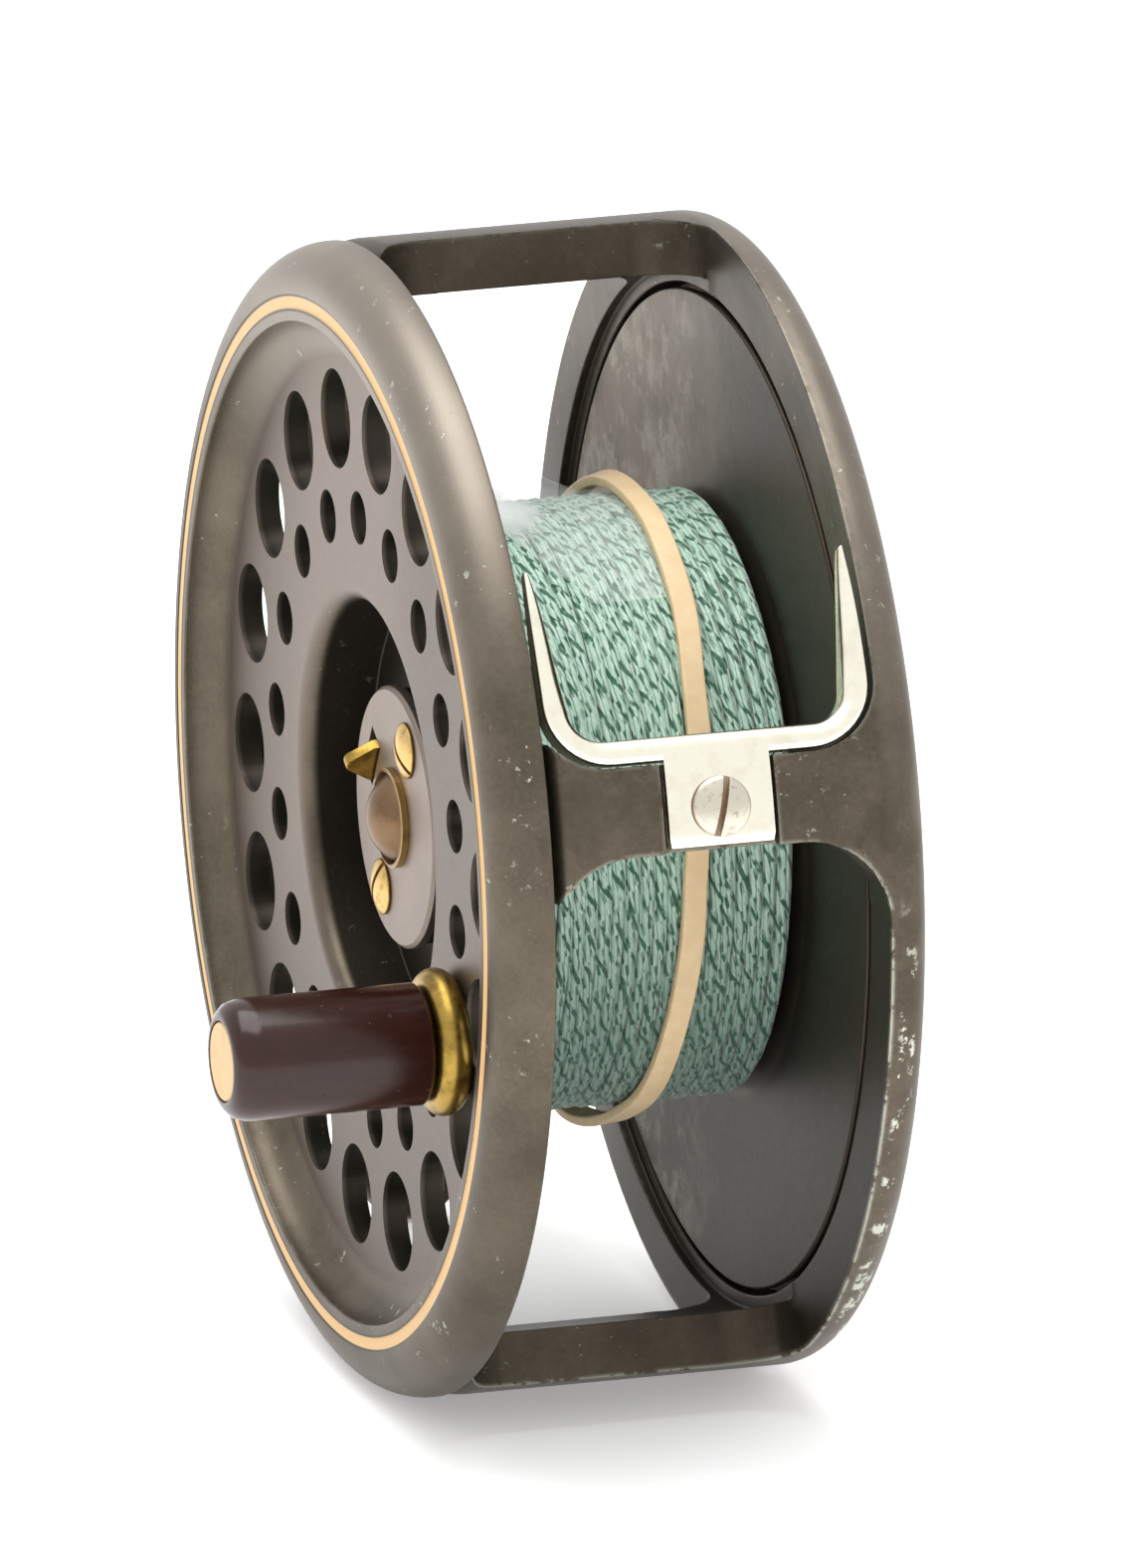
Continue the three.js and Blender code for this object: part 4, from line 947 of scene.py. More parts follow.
def build_band():
    """The rubber band round the pack: it stands off the line over the top, and sags under it."""
    width = 1.9
    thick = 0.85
    half = width / 2
    section = eased([(-half, 0), (half, 0), (half, thick), (-half, thick)], 0.2, steps=3)
    sections = []
    steps = 300
    for k in range(steps):
        angle = 360 * k / steps - 150
        turn = radians(angle)
        lift = 0.3 * hump(angle, 110, 30) + 0.8 * hump(angle, -92, 30)
        twist = radians(14 * hump(angle, 112, 26) - 16 * hump(angle, -92, 26))
        ripple = noise.noise(Vector((cos(turn) * 3, sin(turn) * 3, 0)))
        middle = band_middle(angle) + 0.25 * ripple - 1.2 * hump(angle, -98, 26)
        centre = LINE_RADIUS + 0.1 + thick / 2 + lift + abs(sin(twist)) * half
        ring = []
        for a, b in section:
            across = a * (1 + 0.06 * ripple)
            out = b - thick / 2
            radius = centre + across * sin(twist) + out * cos(twist)
            ring.append((middle + across * cos(twist) - out * sin(twist), *polar(radius, angle)))
        sections.append(ring)
    finished(lofted("tan_rubber_band", sections, True), "spool", BAND_LOOK, "rubber_band", sharp=60)


def build_film():
    """A strip of clear film over the line, with one corner standing up."""
    steps_round = 90
    row = 45
    low_angle, high_angle = 56.5, 116.0
    vertices = []
    for i in range(steps_round + 1):
        angle = low_angle + (high_angle - low_angle) * i / steps_round
        right = band_middle(angle) - 0.7
        left = read_off(FILM_LEFT, angle)
        for k in range(row):
            depth = left + (right - left) * k / (row - 1)
            wrinkle = 0.09 * noise.noise(Vector((depth * 0.5, angle * 0.1, 3.0)))
            away = (18.7 - depth) / 3.2 if depth < 18.7 else (depth - 18.7) / 4.3
            flap = 2.5 * hump(angle, 113, 15) * max(1 - away, 0)
            vertices.append((depth, *polar(LINE_RADIUS + 0.2 + wrinkle + flap, angle)))
    faces = []
    for i in range(steps_round):
        for a in range(i * row, i * row + row - 1):
            faces.append((a, a + 1, a + row + 1, a + row))
    film = object_from("clear_film_strip", vertices, faces)
    film.modifiers.new("thickness", "SOLIDIFY").thickness = 0.05
    finished(settled(film), "spool", FILM_LOOK, "line_tape", sharp=60)


# ---------- spool ----------


def spool_profile():
    lip = arc(FACE_DEPTH + WELL_LIP, WELL_RADIUS + WELL_LIP, WELL_LIP, 270, 180, 10)
    cove = arc(0, RIM_FLAT_INNER - COVE_RADIUS, COVE_RADIUS, 0, 90, 12)
    rim = arc(RIM_ROUNDING, RIM_RADIUS - RIM_ROUNDING, RIM_ROUNDING, 180, 90, 18)
    hollow_outer = RIM_RADIUS - RIM_WALL
    hollow_front = RIM_WALL + 0.1
    inside = ARBOR_RADIUS - ARBOR_WALL
    hub_back = WELL_FLOOR + 1.8
    return [
        (HUB_FRONT, HUB_BORE), (HUB_FRONT, HUB_RADIUS), (WELL_FLOOR, HUB_RADIUS),
        (WELL_FLOOR, WELL_RADIUS), *lip, *cove, (0, STRIPE_INNER), (STRIPE_DEPTH, STRIPE_INNER + 0.08),
        (STRIPE_DEPTH, STRIPE_OUTER - 0.08), *rim, (RIM_BACK, RIM_RADIUS), (RIM_BACK, hollow_outer),
        (hollow_front + 1.5, hollow_outer), (hollow_front, hollow_outer - 1.2),
        (hollow_front, FLANGE_ROOT), (WEB_BACK, FLANGE_ROOT), (WEB_BACK, ARBOR_RADIUS),
        (FLANGE_FRONT, ARBOR_RADIUS), (FLANGE_FRONT, FLANGE_RADIUS), (FLANGE_BACK, FLANGE_RADIUS),
        (FLANGE_BACK, inside), (hub_back, inside), (hub_back, HUB_TUBE), (GEAR_SEAT_FRONT, HUB_TUBE),
        (GEAR_SEAT_FRONT, GEAR_SEAT_RADIUS), (FLANGE_BACK, GEAR_SEAT_RADIUS), (FLANGE_BACK, HUB_BORE),
    ]


def build_spool():
    shell = turned("spool_shell", spool_profile(), 0.22, 240)
    holes = []
    for radius, at, first in (OUTER_HOLES, INNER_HOLES):
        for k in range(HOLES_PER_RING):
            angle = first + 360 / HOLES_PER_RING * k
            if at != INNER_HOLES[1] or round(angle - 360) != HANDLE_ANGLE:
                holes.append(rod(FACE_DEPTH - 1, WEB_BACK + 1, radius, *polar(at, angle)))
    cut(shell, *holes)
    finished(shell, "spool", SPOOL_LOOK, "spool_face", "spool_arbor", "spool_rear_flange", sharp=35)


# ---------- cage ----------


def cage_profile():
    round_depth = SHOULDER_DEPTH + SHOULDER_ROUNDING
    seat = SPINDLE_RADIUS + SEAT_GAP
    # Extra rings keep the wall's faces small, so that cutting the windows leaves no long slivers.
    first = round_depth + 1
    last = BACK_DEPTH - BACK_ROUNDING - 1
    rings = [first + (last - first) * i / 16 for i in range(17)]
    return [
        (RING_FRONT, RING_INNER), (RING_FRONT, RING_OUTER), (SHOULDER_DEPTH, RING_OUTER),
        *arc(round_depth, CAGE_RADIUS - SHOULDER_ROUNDING, SHOULDER_ROUNDING, 180, 90, 8),
        *((depth, CAGE_RADIUS) for depth in rings),
        *arc(BACK_DEPTH - BACK_ROUNDING, CAGE_RADIUS - BACK_ROUNDING, BACK_ROUNDING, 90, 0, 12),
        (BACK_DEPTH, seat), (BOSS_FRONT, seat), (BOSS_FRONT, BOSS_RADIUS), (RECESS_FLOOR, BOSS_RADIUS),
        (RECESS_FLOOR, RECESS_RADIUS), (LAND_DEPTH, RECESS_RADIUS), (LAND_DEPTH, CAGE_INNER),
        *((depth, CAGE_INNER) for depth in reversed(rings) if depth < LAND_DEPTH - 1),
        (SHOULDER_DEPTH, CAGE_INNER), (SHOULDER_DEPTH, RING_INNER),
    ]


def window_tool(start, end, corner_start, corner_end, back_edge):
    """A sector with rounded corners, wider than the wall it is cut through."""
    per_degree = radians(CAGE_RADIUS)
    first = start + corner_start / per_degree
    last = end - corner_end / per_degree
    turns = [radians(90 * i / 12) for i in range(13)]
    rounds = [(1 - cos(turn), 1 - sin(turn)) for turn in turns]
    stations = [(start + corner_start * a / per_degree, corner_start * b) for a, b in rounds]
    count = round((last - first) / 2.5)
    stations += [(first + (last - first) * i / count, 0.0) for i in range(1, count)]
    stations += [(end - corner_end * a / per_degree, corner_end * b) for a, b in reversed(rounds)]
    sections = []
    for angle, inset in stations:
        low = polar(RECESS_RADIUS - 0.6, angle)
        high = polar(CAGE_RADIUS + 3, angle)
        front = WINDOW_FRONT + inset
        back = back_edge - inset
        sections.append([(front, *low), (front, *high), (back, *high), (back, *low)])
    return lofted("window", sections)


def build_cage():
    cage = turned("one_piece_cage", cage_profile(), 0.2, 240)
    half = GUARD_TAB_WIDTH / 2 + 0.3
    recess = brick(
        GUARD_SCREW_DEPTH - half, GUARD_SCREW_DEPTH + half, GUARD_BAR_BOTTOM - GUARD_TAB_DROP - 1,
        GUARD_BAR_BOTTOM + 3, GUARD_TAB_INNER - 0.35, CAGE_RADIUS + 2,
    )
    long = FOOT_BLOCK_HALF + 4
    front = MIDDLE_DEPTH - FOOT_SEAT_HALF
    seat = brick(front, front + 2 * FOOT_SEAT_HALF, -long, long, FOOT_FLAT, CAGE_RADIUS + 3)
    shaft = rod(RECESS_FLOOR - 1, BACK_DEPTH + 1, CAM_SHAFT_RADIUS + RUNNING_GAP, *CAM_CENTRE)
    cut(cage, *(window_tool(*window) for window in WINDOWS))
    cut(cage, turned_out(recess, GUARD_ANGLE), turned_out(seat, FOOT_ANGLE), shaft)
    cage.modifiers.new("weld", "WELD").merge_threshold = 0.07
    softened(cage, 0.15, 50, clamped=False)
    finished(cage, "frame", CAGE_LOOK, "frame_cage")


def build_spindle():
    back = BACK_DEPTH + 0.6
    profile = [
        (SPINDLE_FRONT, 0), (SPINDLE_FRONT, SPINDLE_RADIUS - 0.5), (GROOVE_FRONT - 0.1, SPINDLE_RADIUS),
        (GROOVE_FRONT, GROOVE_RADIUS), (GROOVE_BACK, GROOVE_RADIUS), (GROOVE_BACK, SPINDLE_RADIUS),
        (back, SPINDLE_RADIUS), (back, 0),
    ]
    finished(turned("spindle_post", profile, 0.08), "frame", STEEL_LOOK, "spindle")
    seat = SPINDLE_RADIUS + SEAT_GAP
    front = BACK_DEPTH + SEAT_GAP
    profile = [
        (BACK_DEPTH + 0.65, 0), (BACK_DEPTH + 0.65, seat), (front, seat), (front, 5.0),
        (BACK_DEPTH + 0.9, 5.0), (BACK_DEPTH + 1.5, 4.2), (BACK_DEPTH + 1.8, 0),
    ]
    nut = turned("spindle_back_nut", profile, 0.15)
    cut(nut, brick(BACK_DEPTH + 1.2, BACK_DEPTH + 3, -6, 6, -0.5, 0.5))
    finished(softened(nut, 0.06, 32), "frame", STEEL_LOOK, "spindle_nut")


# ---------- line guard ----------


def guard_edges():
    """Matching points of the guard's outer and inner edges, from tip to tip, as (depth, round)."""
    bottom = GUARD_BAR_BOTTOM
    bar_top = bottom + GUARD_HEIGHT
    tip = bottom + GUARD_REACH
    corner = GUARD_INNER_CORNER
    steps = 12
    outer = []
    inner = []
    for share in (i / steps for i in range(steps)):
        straight = tip + (bottom + GUARD_CORNER - tip) * share
        outer.append((GUARD_FRONT + 0.3 * (1 - share) ** 2.5, straight))
        swell = 0.75 + (GUARD_PRONG - 0.75) * share ** 0.8
        inner.append((GUARD_FRONT + swell, tip - 0.2 + (bar_top + corner - tip + 0.2) * share))
    corner_x = GUARD_FRONT + GUARD_CORNER
    inner_x = GUARD_FRONT + GUARD_PRONG + corner
    outer += arc(corner_x, bottom + GUARD_CORNER, GUARD_CORNER, 180, 270, steps)
    inner += arc(inner_x, bar_top + corner, corner, 180, 270, steps)
    middle = (GUARD_FRONT + GUARD_BACK) / 2
    for share in (i / steps for i in range(1, steps)):
        outer.append((corner_x + (middle - corner_x) * share, bottom))
        inner.append((inner_x + (middle - inner_x) * share, bar_top))
    return [edge + [(2 * middle - a, b) for a, b in reversed(edge)] for edge in (outer, inner)]


def bent(depth, distance, radius):
    """A point of a flat layout wrapped on the cage, with Z pointing outwards."""
    angle = distance / CAGE_RADIUS
    return depth, radius * sin(angle), radius * cos(angle)


def between_0_and_1(value):
    return min(max(value, 0), 1)


def build_guard():
    bottom = GUARD_BAR_BOTTOM

    def inner_radius(distance):
        share = between_0_and_1((distance - bottom - 4) / (GUARD_REACH - 4))
        return GUARD_INNER + share * (GUARD_OUTER - 0.9 - GUARD_INNER)

    sections = []
    for (ox, ou), (ix, iu) in zip(*guard_edges()):
        upright = between_0_and_1((iu - bottom - GUARD_HEIGHT) / 6)
        thin = between_0_and_1((iu - bottom - 6) / (GUARD_REACH - 6))
        ring = []
        for share, drop in GUARD_CROWN:
            rounded = drop * (1 - 0.5 * thin) + 0.75 * upright * (1 - thin) * share ** 2
            ring.append((share, GUARD_OUTER - rounded))
        ring += [(1.0, inner_radius(iu)), (0.0, inner_radius(ou))]
        sections.append([bent(ox + (ix - ox) * share, ou + (iu - ou) * share, r) for share, r in ring])
    guard = lofted("u_line_guard", sections)

    half = GUARD_TAB_WIDTH / 2
    outline = [
        (-half, GUARD_OUTER), (half, GUARD_OUTER), (half, GUARD_TAB_INNER), (-half, GUARD_TAB_INNER),
    ]
    low = bottom - GUARD_TAB_DROP
    high = bottom + GUARD_HEIGHT * 0.5
    sections = []
    for i in range(13):
        inset = 0.12 if i == 0 else 0.0
        ring = []
        for x, radius in eased(outline, 0.12, steps=3):
            depth = GUARD_SCREW_DEPTH + x * (1 - inset / half)
            ring.append(bent(depth, low + (high - low) * i / 12, radius - inset))
        sections.append(ring)
    combined(guard, "UNION", lofted("tab", sections))
    finished(turned_out(guard, GUARD_ANGLE), "frame", NICKEL_LOOK, "line_guard", sharp=38)
    top = -GUARD_OUTER - 0.1
    screw = slotted_screw("guard_screw_domed", top - 0.75, top, -42.5, 2.4, 1.3, 14)
    turned_out(standing(screw, GUARD_SCREW_DEPTH, 0), GUARD_ANGLE)
    finished(screw, "frame", SCREW_LOOK, "line_guard_screw")


def slotted_screw(name, front, head_back, back, head_radius, shank_radius, slot_angle, slot_width=0.22):
    """A screw along X with a low domed head and a slot across it."""
    thick = head_back - front
    profile = [(front + thick * 0.72 * (i / 8) ** 2, head_radius * 0.98 * i / 8) for i in range(9)]
    profile += [
        (front + thick * 0.82, head_radius), (head_back, head_radius), (head_back, shank_radius),
        (back, shank_radius), (back, 0),
    ]
    screw = turned(name, profile, 0, 64)
    half = head_radius * slot_width / 2
    slot = brick(front - 1, front + thick * 0.85, -head_radius * 1.5, head_radius * 1.5, -half, half)
    cut(screw, moved(slot, spun(slot_angle, "X")))
    return softened(screw, 0.05)


# ---------- foot ----------


def build_foot():
    tilt = radians(FOOT_ANGLE - 180)
    half = (RIM_RADIUS - FOOT_PLANE * sin(tilt)) / cos(tilt)
    tip = FOOT_TIP_WIDTH / 2
    wide = FOOT_WIDTH / 2
    seat = FOOT_FLAT + SEAT_GAP
    underside = [
        (0, seat), (FOOT_BLOCK_HALF, seat), (11, FOOT_PLANE - 2.4), (18, FOOT_PLANE - 1.7),
        (half, FOOT_PLANE - 1.1),
    ]
    sides = [(0, wide), (8, wide), (15, wide * 0.86), (half - tip, tip), (half, tip)]

    def half_width(at):
        into = at - (half - tip)
        return read_off(sides, at) if into <= 0 else sqrt(max(tip ** 2 - into ** 2, 0.01))

    steps = 40
    stations = [(half - 0.02) * sin(pi / 2 * i / steps) for i in range(-steps, steps + 1)]
    stations += [side * at for side in (-1, 1) for at in (FOOT_BLOCK_HALF, 11, 18)]
    sections = []
    for at in sorted(set(round(at, 4) for at in stations)):
        reach = half_width(abs(at))
        low = read_off(underside, abs(at))
        corners = [(-reach, low), (reach, low), (reach, FOOT_PLANE), (-reach, FOOT_PLANE)]
        sections.append([(MIDDLE_DEPTH + a, at, b) for a, b in eased(corners, 0.3, steps=3)])
    foot = turned_out(lofted("tapered_reel_foot", sections), FOOT_ANGLE)
    sinks = []
    top = -FOOT_PLANE
    for number, side in SIDES:
        name = f"foot_fixing_screw_{number}"
        screw = slotted_screw(name, top + 0.1, top + 1.25, -42.6, 2.35, FOOT_SCREW_SHANK, 35 * side)
        sinks.append(rod(top - 2, top + 1.3, 2.5, segments=64))
        for body in (screw, sinks[-1]):
            turned_out(standing(body, MIDDLE_DEPTH, side * FOOT_SCREW_AT), FOOT_ANGLE)
        finished(screw, "frame", BRASS_LOOK, f"foot_screw_{number}")
    cut(foot, *sinks)
    finished(foot, "frame", CAGE_LOOK, "reel_foot")


# ---------- handle ----------


def build_handle():
    place = polar(HANDLE_AT, HANDLE_ANGLE)
    gap = PIN_RADIUS + RUNNING_GAP
    front = FACE_DEPTH - COLLAR_THICK
    back = FACE_DEPTH - SEAT_GAP
    swell = (back - front) / 2
    bead = arc(front + swell, COLLAR_RADIUS - swell, swell, 180, 0, 20)
    collar = turned("brass_handle_collar", [(back, gap), (front, gap), *bead], 0.05, 128, *place)
    finished(collar, "spool", BRASS_LOOK, "handle_collar", sharp=50)
    end = GRIP_FRONT
    head_back = end + 1.0
    profile = [
        (end + 0.02, 0), (end, PIN_HEAD_RADIUS * 0.6), (end + 0.03, PIN_HEAD_RADIUS - 0.1),
        (end + 0.12, PIN_HEAD_RADIUS), (head_back, PIN_HEAD_RADIUS), (head_back, PIN_RADIUS),
        (WEB_BACK - 0.05, PIN_RADIUS), (WEB_BACK - 0.05, 0),
    ]
    finished(turned("riveted_handle_pin", profile, 0, 96, *place), "spool", PIN_LOOK, "handle_pin")
    back = front - 0.15
    sink = PIN_HEAD_RADIUS + 0.1
    profile = [
        (back, gap), (head_back + 0.1, gap), (head_back + 0.1, sink), (end, sink),
        (end + 0.02, GRIP_RADIUS - 1.25), (end + 0.3, GRIP_RADIUS - 0.75),
        (end + 0.75, GRIP_RADIUS - 0.32), (end + 1.6, GRIP_RADIUS - 0.06), (end + 2.4, GRIP_RADIUS),
        (back - 0.4, GRIP_RADIUS),
        (back, GRIP_RADIUS - 0.35),
    ]
    grip = turned("turned_resin_grip", profile, 0.12, 128, *place)
    finished(grip, "handle", GRIP_LOOK, "handle_grip", sharp=50)


# ---------- latch ----------


def towards_latch(body):
    """A shape laid out with +Y towards the latch's tab, turned to the tab's own angle."""
    return moved(body, spun(180 - LATCH_ANGLE, "X"))


def build_latch():
    bore = SPINDLE_RADIUS + 0.3
    back = HUB_FRONT - SEAT_GAP
    profile = [
        (COVER_FRONT, bore), (COVER_FRONT, COVER_RADIUS - 0.3), (COVER_FRONT + 0.3, COVER_RADIUS),
        (back, COVER_RADIUS), (back, bore),
    ]
    cover = turned("latch_cover_disc", profile, 0.12, 160)
    half = TAB_HALF + 0.3
    far = TAB_FAR + LATCH_TRAVEL + 0.2
    slot = brick(COVER_FRONT - 1, HUB_FRONT + 1, TAB_NEAR - 0.3, far, -half, half)
    cut(cover, towards_latch(slot))
    finished(cover, "spool", COVER_LOOK, "latch_cover", sharp=35)
    back = COVER_FRONT - SEAT_GAP
    for i, angle in enumerate(COVER_SCREW_ANGLES):
        name = f"domed_cover_screw_{i + 1}"
        screw = slotted_screw(name, back - 0.85, back, WELL_FLOOR - 0.5, 2.25, 1.2, 40 + 70 * i, 0.2)
        moved(screw, Matrix.Translation((0, *polar(COVER_SCREW_AT, angle))))
        finished(screw, "spool", COVER_SCREW_LOOK, f"latch_cover_screw_{i + 1}")

    dome = [(x, max(r, 0.0)) for x, r in arc(back + 1.8, 0, 4.0, 180, 117, 20)]
    dome += [(back - 0.6, 3.72), (back - 0.52, 4.0), (back, 4.0), (back, 0)]
    cap = turned("domed_spindle_cap", dome)
    finished(cap, "spool", CAP_LOOK, "spindle_cap", sharp=50)

    wide = LEVER_HALF
    outline = [(LEVER_TAIL, -wide), (LEVER_HEAD, -wide), (LEVER_HEAD, wide), (LEVER_TAIL, wide)]
    lever = extruded("bent_latch_lever", outline, LEVER_FRONT, LEVER_BACK)
    edge = GROOVE_RADIUS + 0.1
    outline = [*arc(-0.95, 0, 2.65, 90, 270, 32), (-0.2, -2.65), (edge, -1.9), (edge, 1.9), (-0.2, 2.65)]
    cut(lever, extruded("eye", outline, LEVER_FRONT - 1, LEVER_BACK + 1))
    low, high = ([(TAB_BACK, side * TAB_HALF), (TAB_FRONT + 2.1, side * TAB_HALF)] for side in (-1, 1))
    outline = [*low, *arc(TAB_FRONT + 0.7, 0, 0.7, 245, 115, 8), *reversed(high)]
    tab = extruded("tab", outline, TAB_NEAR, TAB_FAR, lambda a, b, height: (a, height, b))
    combined(lever, "UNION", tab)
    finished(towards_latch(softened(lever, 0.12)), "latch", BRASS_LOOK, "latch_lever", sharp=35)

    strip = []
    for i in range(25):
        across = -3 + 6 * i / 24
        strip.append((8.85 - 0.5 * (1 - (across / 3) ** 2), across))
    strip += [(a + 0.2, b) for a, b in reversed(strip)]
    spring = extruded("bowed_latch_spring", strip, LEVER_FRONT, LEVER_BACK)
    finished(towards_latch(spring), "spool", SPRING_LOOK, "latch_spring")


# ---------- bearings, gear and check ----------


def build_gear():
    inner = SPINDLE_RADIUS + RUNNING_GAP
    outer = HUB_BORE - SEAT_GAP
    for name, (front, back) in BUSHES.items():
        profile = [(front, inner), (front, outer), (back, outer), (back, inner)]
        finished(turned(f"bronze_{name}", profile, 0.15), "spool", BRONZE_LOOK, name)
    back = BOSS_FRONT - 0.1
    outer -= 0.3
    profile = [(FLANGE_BACK, inner), (FLANGE_BACK, outer), (back, outer), (back, inner)]
    washer = turned("steel_thrust_washer", profile, 0.08)
    finished(washer, "spool_carrier", STEEL_LOOK, "thrust_washer")

    points = []
    pitch = 360 / GEAR_TEETH
    for tooth in range(GEAR_TEETH):
        for radius, share in ((GEAR_ROOT, 0), (GEAR_TIP, 0.4), (GEAR_TIP, 0.6)):
            points.append(polar(radius, CHECK_ANGLE + pitch * (tooth + share)))
    back = GEAR_FRONT + GEAR_THICK
    gear = extruded("toothed_check_gear", points, GEAR_FRONT, back)
    tools = [rod(GEAR_FRONT - 1, back + 1, HUB_BORE + 0.2, segments=64)]
    for i, angle in enumerate(GEAR_SCREW_ANGLES):
        place = polar(GEAR_SCREW_AT, angle)
        tools.append(rod(back - 0.6, back + 1, 1.25, *place))
        name = f"gear_fixing_screw_{i + 1}"
        screw = slotted_screw(name, -back, 0.55 - back, -GEAR_SEAT_FRONT - 0.8, 1.1, 0.65, 25 * i)
        moved(screw, Matrix.Translation((0, *place)) @ spun(180, "Z"))
        finished(screw, "spool", STEEL_LOOK, f"gear_screw_{i + 1}")
    cut(gear, *tools)
    finished(softened(gear, 0.08), "spool", BRASS_LOOK, "check_gear", sharp=35)


def from_plan(along, across):
    """The check mechanism's own plan, along towards the cam and across, as (y, z)."""
    ay, az = polar(1, CHECK_ANGLE)
    return along * ay - across * az, along * az + across * ay


def plan_plate(name, points, front, back):
    return extruded(name, [from_plan(*point) for point in points], front, back)


def pawl_pivot(side):
    nose = radians(PAWL_NOSE_ANGLE)
    along = NOSE_RADIUS * cos(nose) - PAWL_ARM * sin(nose)
    across = NOSE_RADIUS * sin(nose) + PAWL_ARM * cos(nose)
    return along + PAWL_LIFT * cos(nose), side * (across + PAWL_LIFT * sin(nose))


def build_pawl(number, side):
    nose = radians(PAWL_NOSE_ANGLE)

    def at(out, towards):
        along = out * cos(nose) + towards * sin(nose)
        return along, side * (out * sin(nose) - towards * cos(nose))

    pivot = from_plan(*pawl_pivot(side))
    lifted = NOSE_RADIUS + PAWL_LIFT
    arm = [
        at(lifted - 1.2, -PAWL_ARM), at(lifted - 1.2, -0.95), at(NOSE_RADIUS, 0),
        at(lifted - 1.2, 0.95), at(lifted + 0.9, 0.95), at(lifted + 1.2, -PAWL_ARM),
    ]
    back = PAWL_FRONT + PAWL_THICK
    pawl = plan_plate(f"click_pawl_{number}", arm, PAWL_FRONT, back)
    combined(pawl, "UNION", rod(PAWL_FRONT, back, 2.3, *pivot, 64))
    cut(pawl, rod(PAWL_FRONT - 1, back + 1, POST_RADIUS + RUNNING_GAP, *pivot))
    softened(pawl, 0.1)
    finished(pawl, f"pawl_{number}", STEEL_LOOK, f"check_pawl_{number}", sharp=35)
    front = PAWL_FRONT - 0.1
    profile = [
        (front, 0), (front, POST_RADIUS), (BACK_DEPTH + 0.05, POST_RADIUS),
        (BACK_DEPTH + 0.15, POST_RADIUS * 0.7), (BACK_DEPTH + 0.18, 0),
    ]
    post = turned(f"turned_pawl_post_{number}", profile, 0.1, 64, *pivot)
    finished(post, "frame", STEEL_LOOK, f"pawl_post_{number}")


def build_check():
    for number, side in SIDES:
        build_pawl(number, side)
    point = CAM_AT - CAM_LOW - 0.35
    bar = SLIDE_NEAR + SLIDE_BAR
    edge = [
        (SLIDE_NEAR, SLIDE_HALF), (bar, SLIDE_HALF), (bar, SLIDE_STEM), (point - 0.8, SLIDE_STEM),
        (point, 0.5),
    ]
    corners = [(a, -b) for a, b in edge] + edge[::-1]
    slide = softened(plan_plate("brass_regulator_slide", corners, PAWL_FRONT, RECESS_FLOOR - 0.25), 0.1)
    finished(slide, "regulator", BRASS_LOOK, "regulator_slide", sharp=35)
    leaf = [
        (SLIDE_NEAR + 1.6, 0.05), (SLIDE_NEAR + 1.6, 3.2), (-1.0, 3.6), (-1.0, 3.3),
        (SLIDE_NEAR + 1.3, 2.9), (SLIDE_NEAR + 1.3, 0.05),
    ]
    for number, side in SIDES:
        strip = [(along, side * (SLIDE_HALF + out)) for along, out in leaf]
        spring = plan_plate(f"leaf_check_spring_{number}", strip, PAWL_FRONT, PAWL_FRONT + PAWL_THICK)
        finished(softened(spring, 0.05), "regulator", SPRING_LOOK, f"check_spring_{number}", sharp=35)


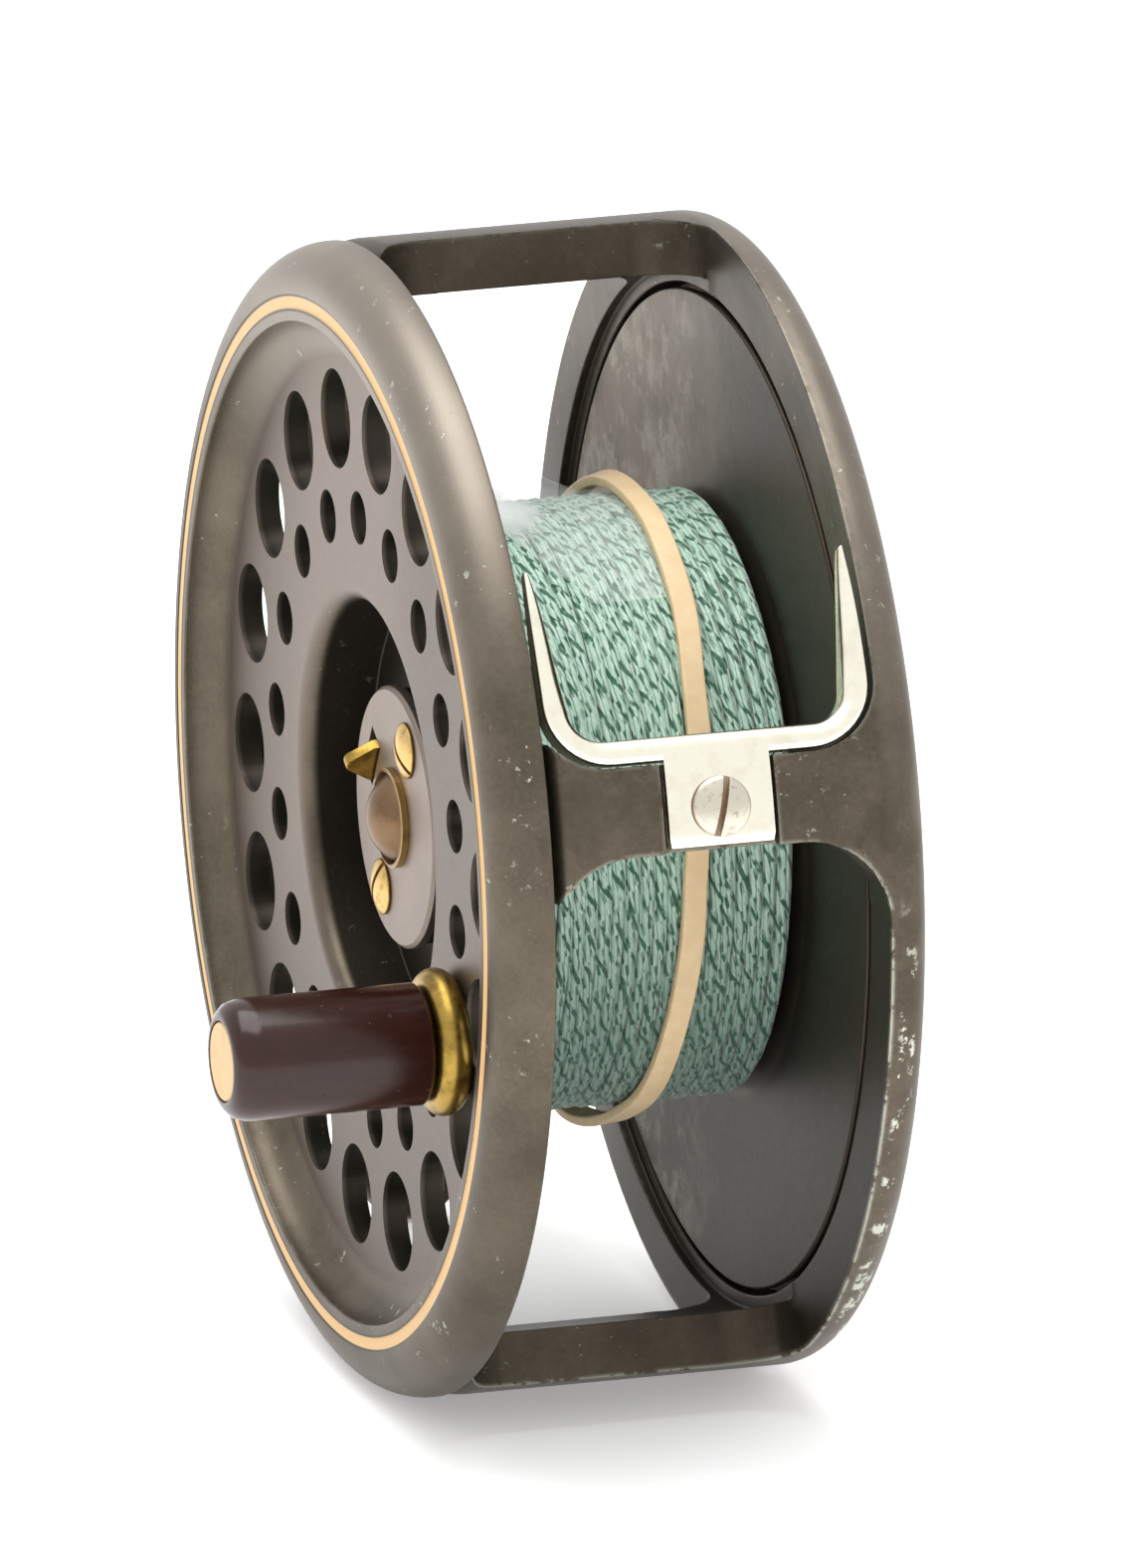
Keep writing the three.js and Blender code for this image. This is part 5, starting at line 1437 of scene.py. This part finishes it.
def build_adjuster():
    spiral = []
    for turn in range(0, 360, 3):
        fallen = max(0, turn - CAM_RISE_TURN) / CAM_FALL_TURN
        risen = turn if turn <= CAM_RISE_TURN else max(0, CAM_RISE_TURN * (1 - fallen))
        radius = CAM_LOW + CAM_RISE_PER_TURN * risen / 360
        angle = radians(-CHECK_ANGLE - turn)
        spiral.append((CAM_CENTRE[0] + radius * cos(angle), CAM_CENTRE[1] + radius * sin(angle)))
    cam = extruded("spiral_cam_and_shaft", spiral, PAWL_FRONT, RECESS_FLOOR - 0.2)
    shaft_back = BACK_DEPTH + 3.0
    shaft = rod(PAWL_FRONT - 0.001, shaft_back, CAM_SHAFT_RADIUS, *CAM_CENTRE, 64)
    combined(cam, "UNION", shaft)
    finished(softened(cam, 0.06, 45), "adjuster", STEEL_LOOK, "adjuster_cam_shaft", sharp=35)

    front = BACK_DEPTH + 0.3
    back = front + KNOB_THICK
    flutes = []
    for i in range(KNOB_FLUTES * 8):
        radius = KNOB_RADIUS - KNOB_FLUTE_DEPTH * max(0, cos(2 * pi * i / 8)) ** 3
        angle = 2 * pi * i / (KNOB_FLUTES * 8)
        flutes.append((radius * cos(angle), radius * sin(angle)))
    knob = extruded("fluted_adjuster_knob", flutes, front, back)
    wide = KNOB_RADIUS + 0.1
    profile = [
        (front, 0), (front, KNOB_RADIUS - 0.5), (front + 0.5, wide), (back - 0.8, wide),
        (back, KNOB_RADIUS - 0.9), (back, 2.9), (back - 0.25, 2.6), (back - 0.25, 0),
    ]
    combined(knob, "INTERSECT", turned("blank", profile, 0.25, 160))
    cut(knob, rod(front - 1, shaft_back + 0.05, CAM_SHAFT_RADIUS + SEAT_GAP, segments=64))
    cut(knob, rod(front - 1.5, back + 1, 0.9))
    moved(softened(knob, 0.08), Matrix.Translation((0, *CAM_CENTRE)))
    finished(knob, "adjuster", PLAIN_LOOK, "adjuster_knob", sharp=35)
    screw = slotted_screw("knob_retaining_screw", 0, 0.7, 1.9, 2.0, 0.8, 55)
    moved(screw, Matrix.Translation((back + 0.75, *CAM_CENTRE)) @ spun(180, "Z"))
    finished(screw, "adjuster", STEEL_LOOK, "knob_screw")


# ---------- stage ----------


def build_stage():
    bpy.ops.mesh.primitive_plane_add(size=6, location=(0, 0, 0))
    floor = bpy.context.object
    floor.name = "floor"
    look = Look("white_floor")
    look.shader.inputs["Base Color"].default_value = (0.93, 0.93, 0.93, 1)
    look.shader.inputs["Roughness"].default_value = 0.9
    look.shader.inputs["Emission Color"].default_value = (1, 1, 1, 1)
    look.shader.inputs["Emission Strength"].default_value = 0.3
    floor.data.materials.append(look.material)


def area_light(name, place, target, size, power):
    data = bpy.data.lights.new(name, "AREA")
    data.shape = "RECTANGLE"
    data.size, data.size_y = size
    data.energy = power
    light = linked(name, data)
    light.location = place
    light.rotation_mode = "QUATERNION"
    light.rotation_quaternion = (Vector(target) - Vector(place)).to_track_quat("-Z", "Y")


def build_light():
    world = bpy.data.worlds.new("studio")
    bpy.context.scene.world = world
    world.use_nodes = True
    background = world.node_tree.nodes["Background"]
    background.inputs["Color"].default_value = (1, 1, 1, 1)
    background.inputs["Strength"].default_value = 1.0
    area_light("overhead", (-0.1, 0.05, 1.0), (0, 0, 0.04), (0.9, 0.9), 9)
    bpy.context.scene.view_settings.view_transform = "Standard"


build_camera()
build_line()
build_band()
build_film()
build_spool()
build_cage()
build_spindle()
build_guard()
build_foot()
build_handle()
build_latch()
build_gear()
build_check()
build_adjuster()
build_stage()
build_light()
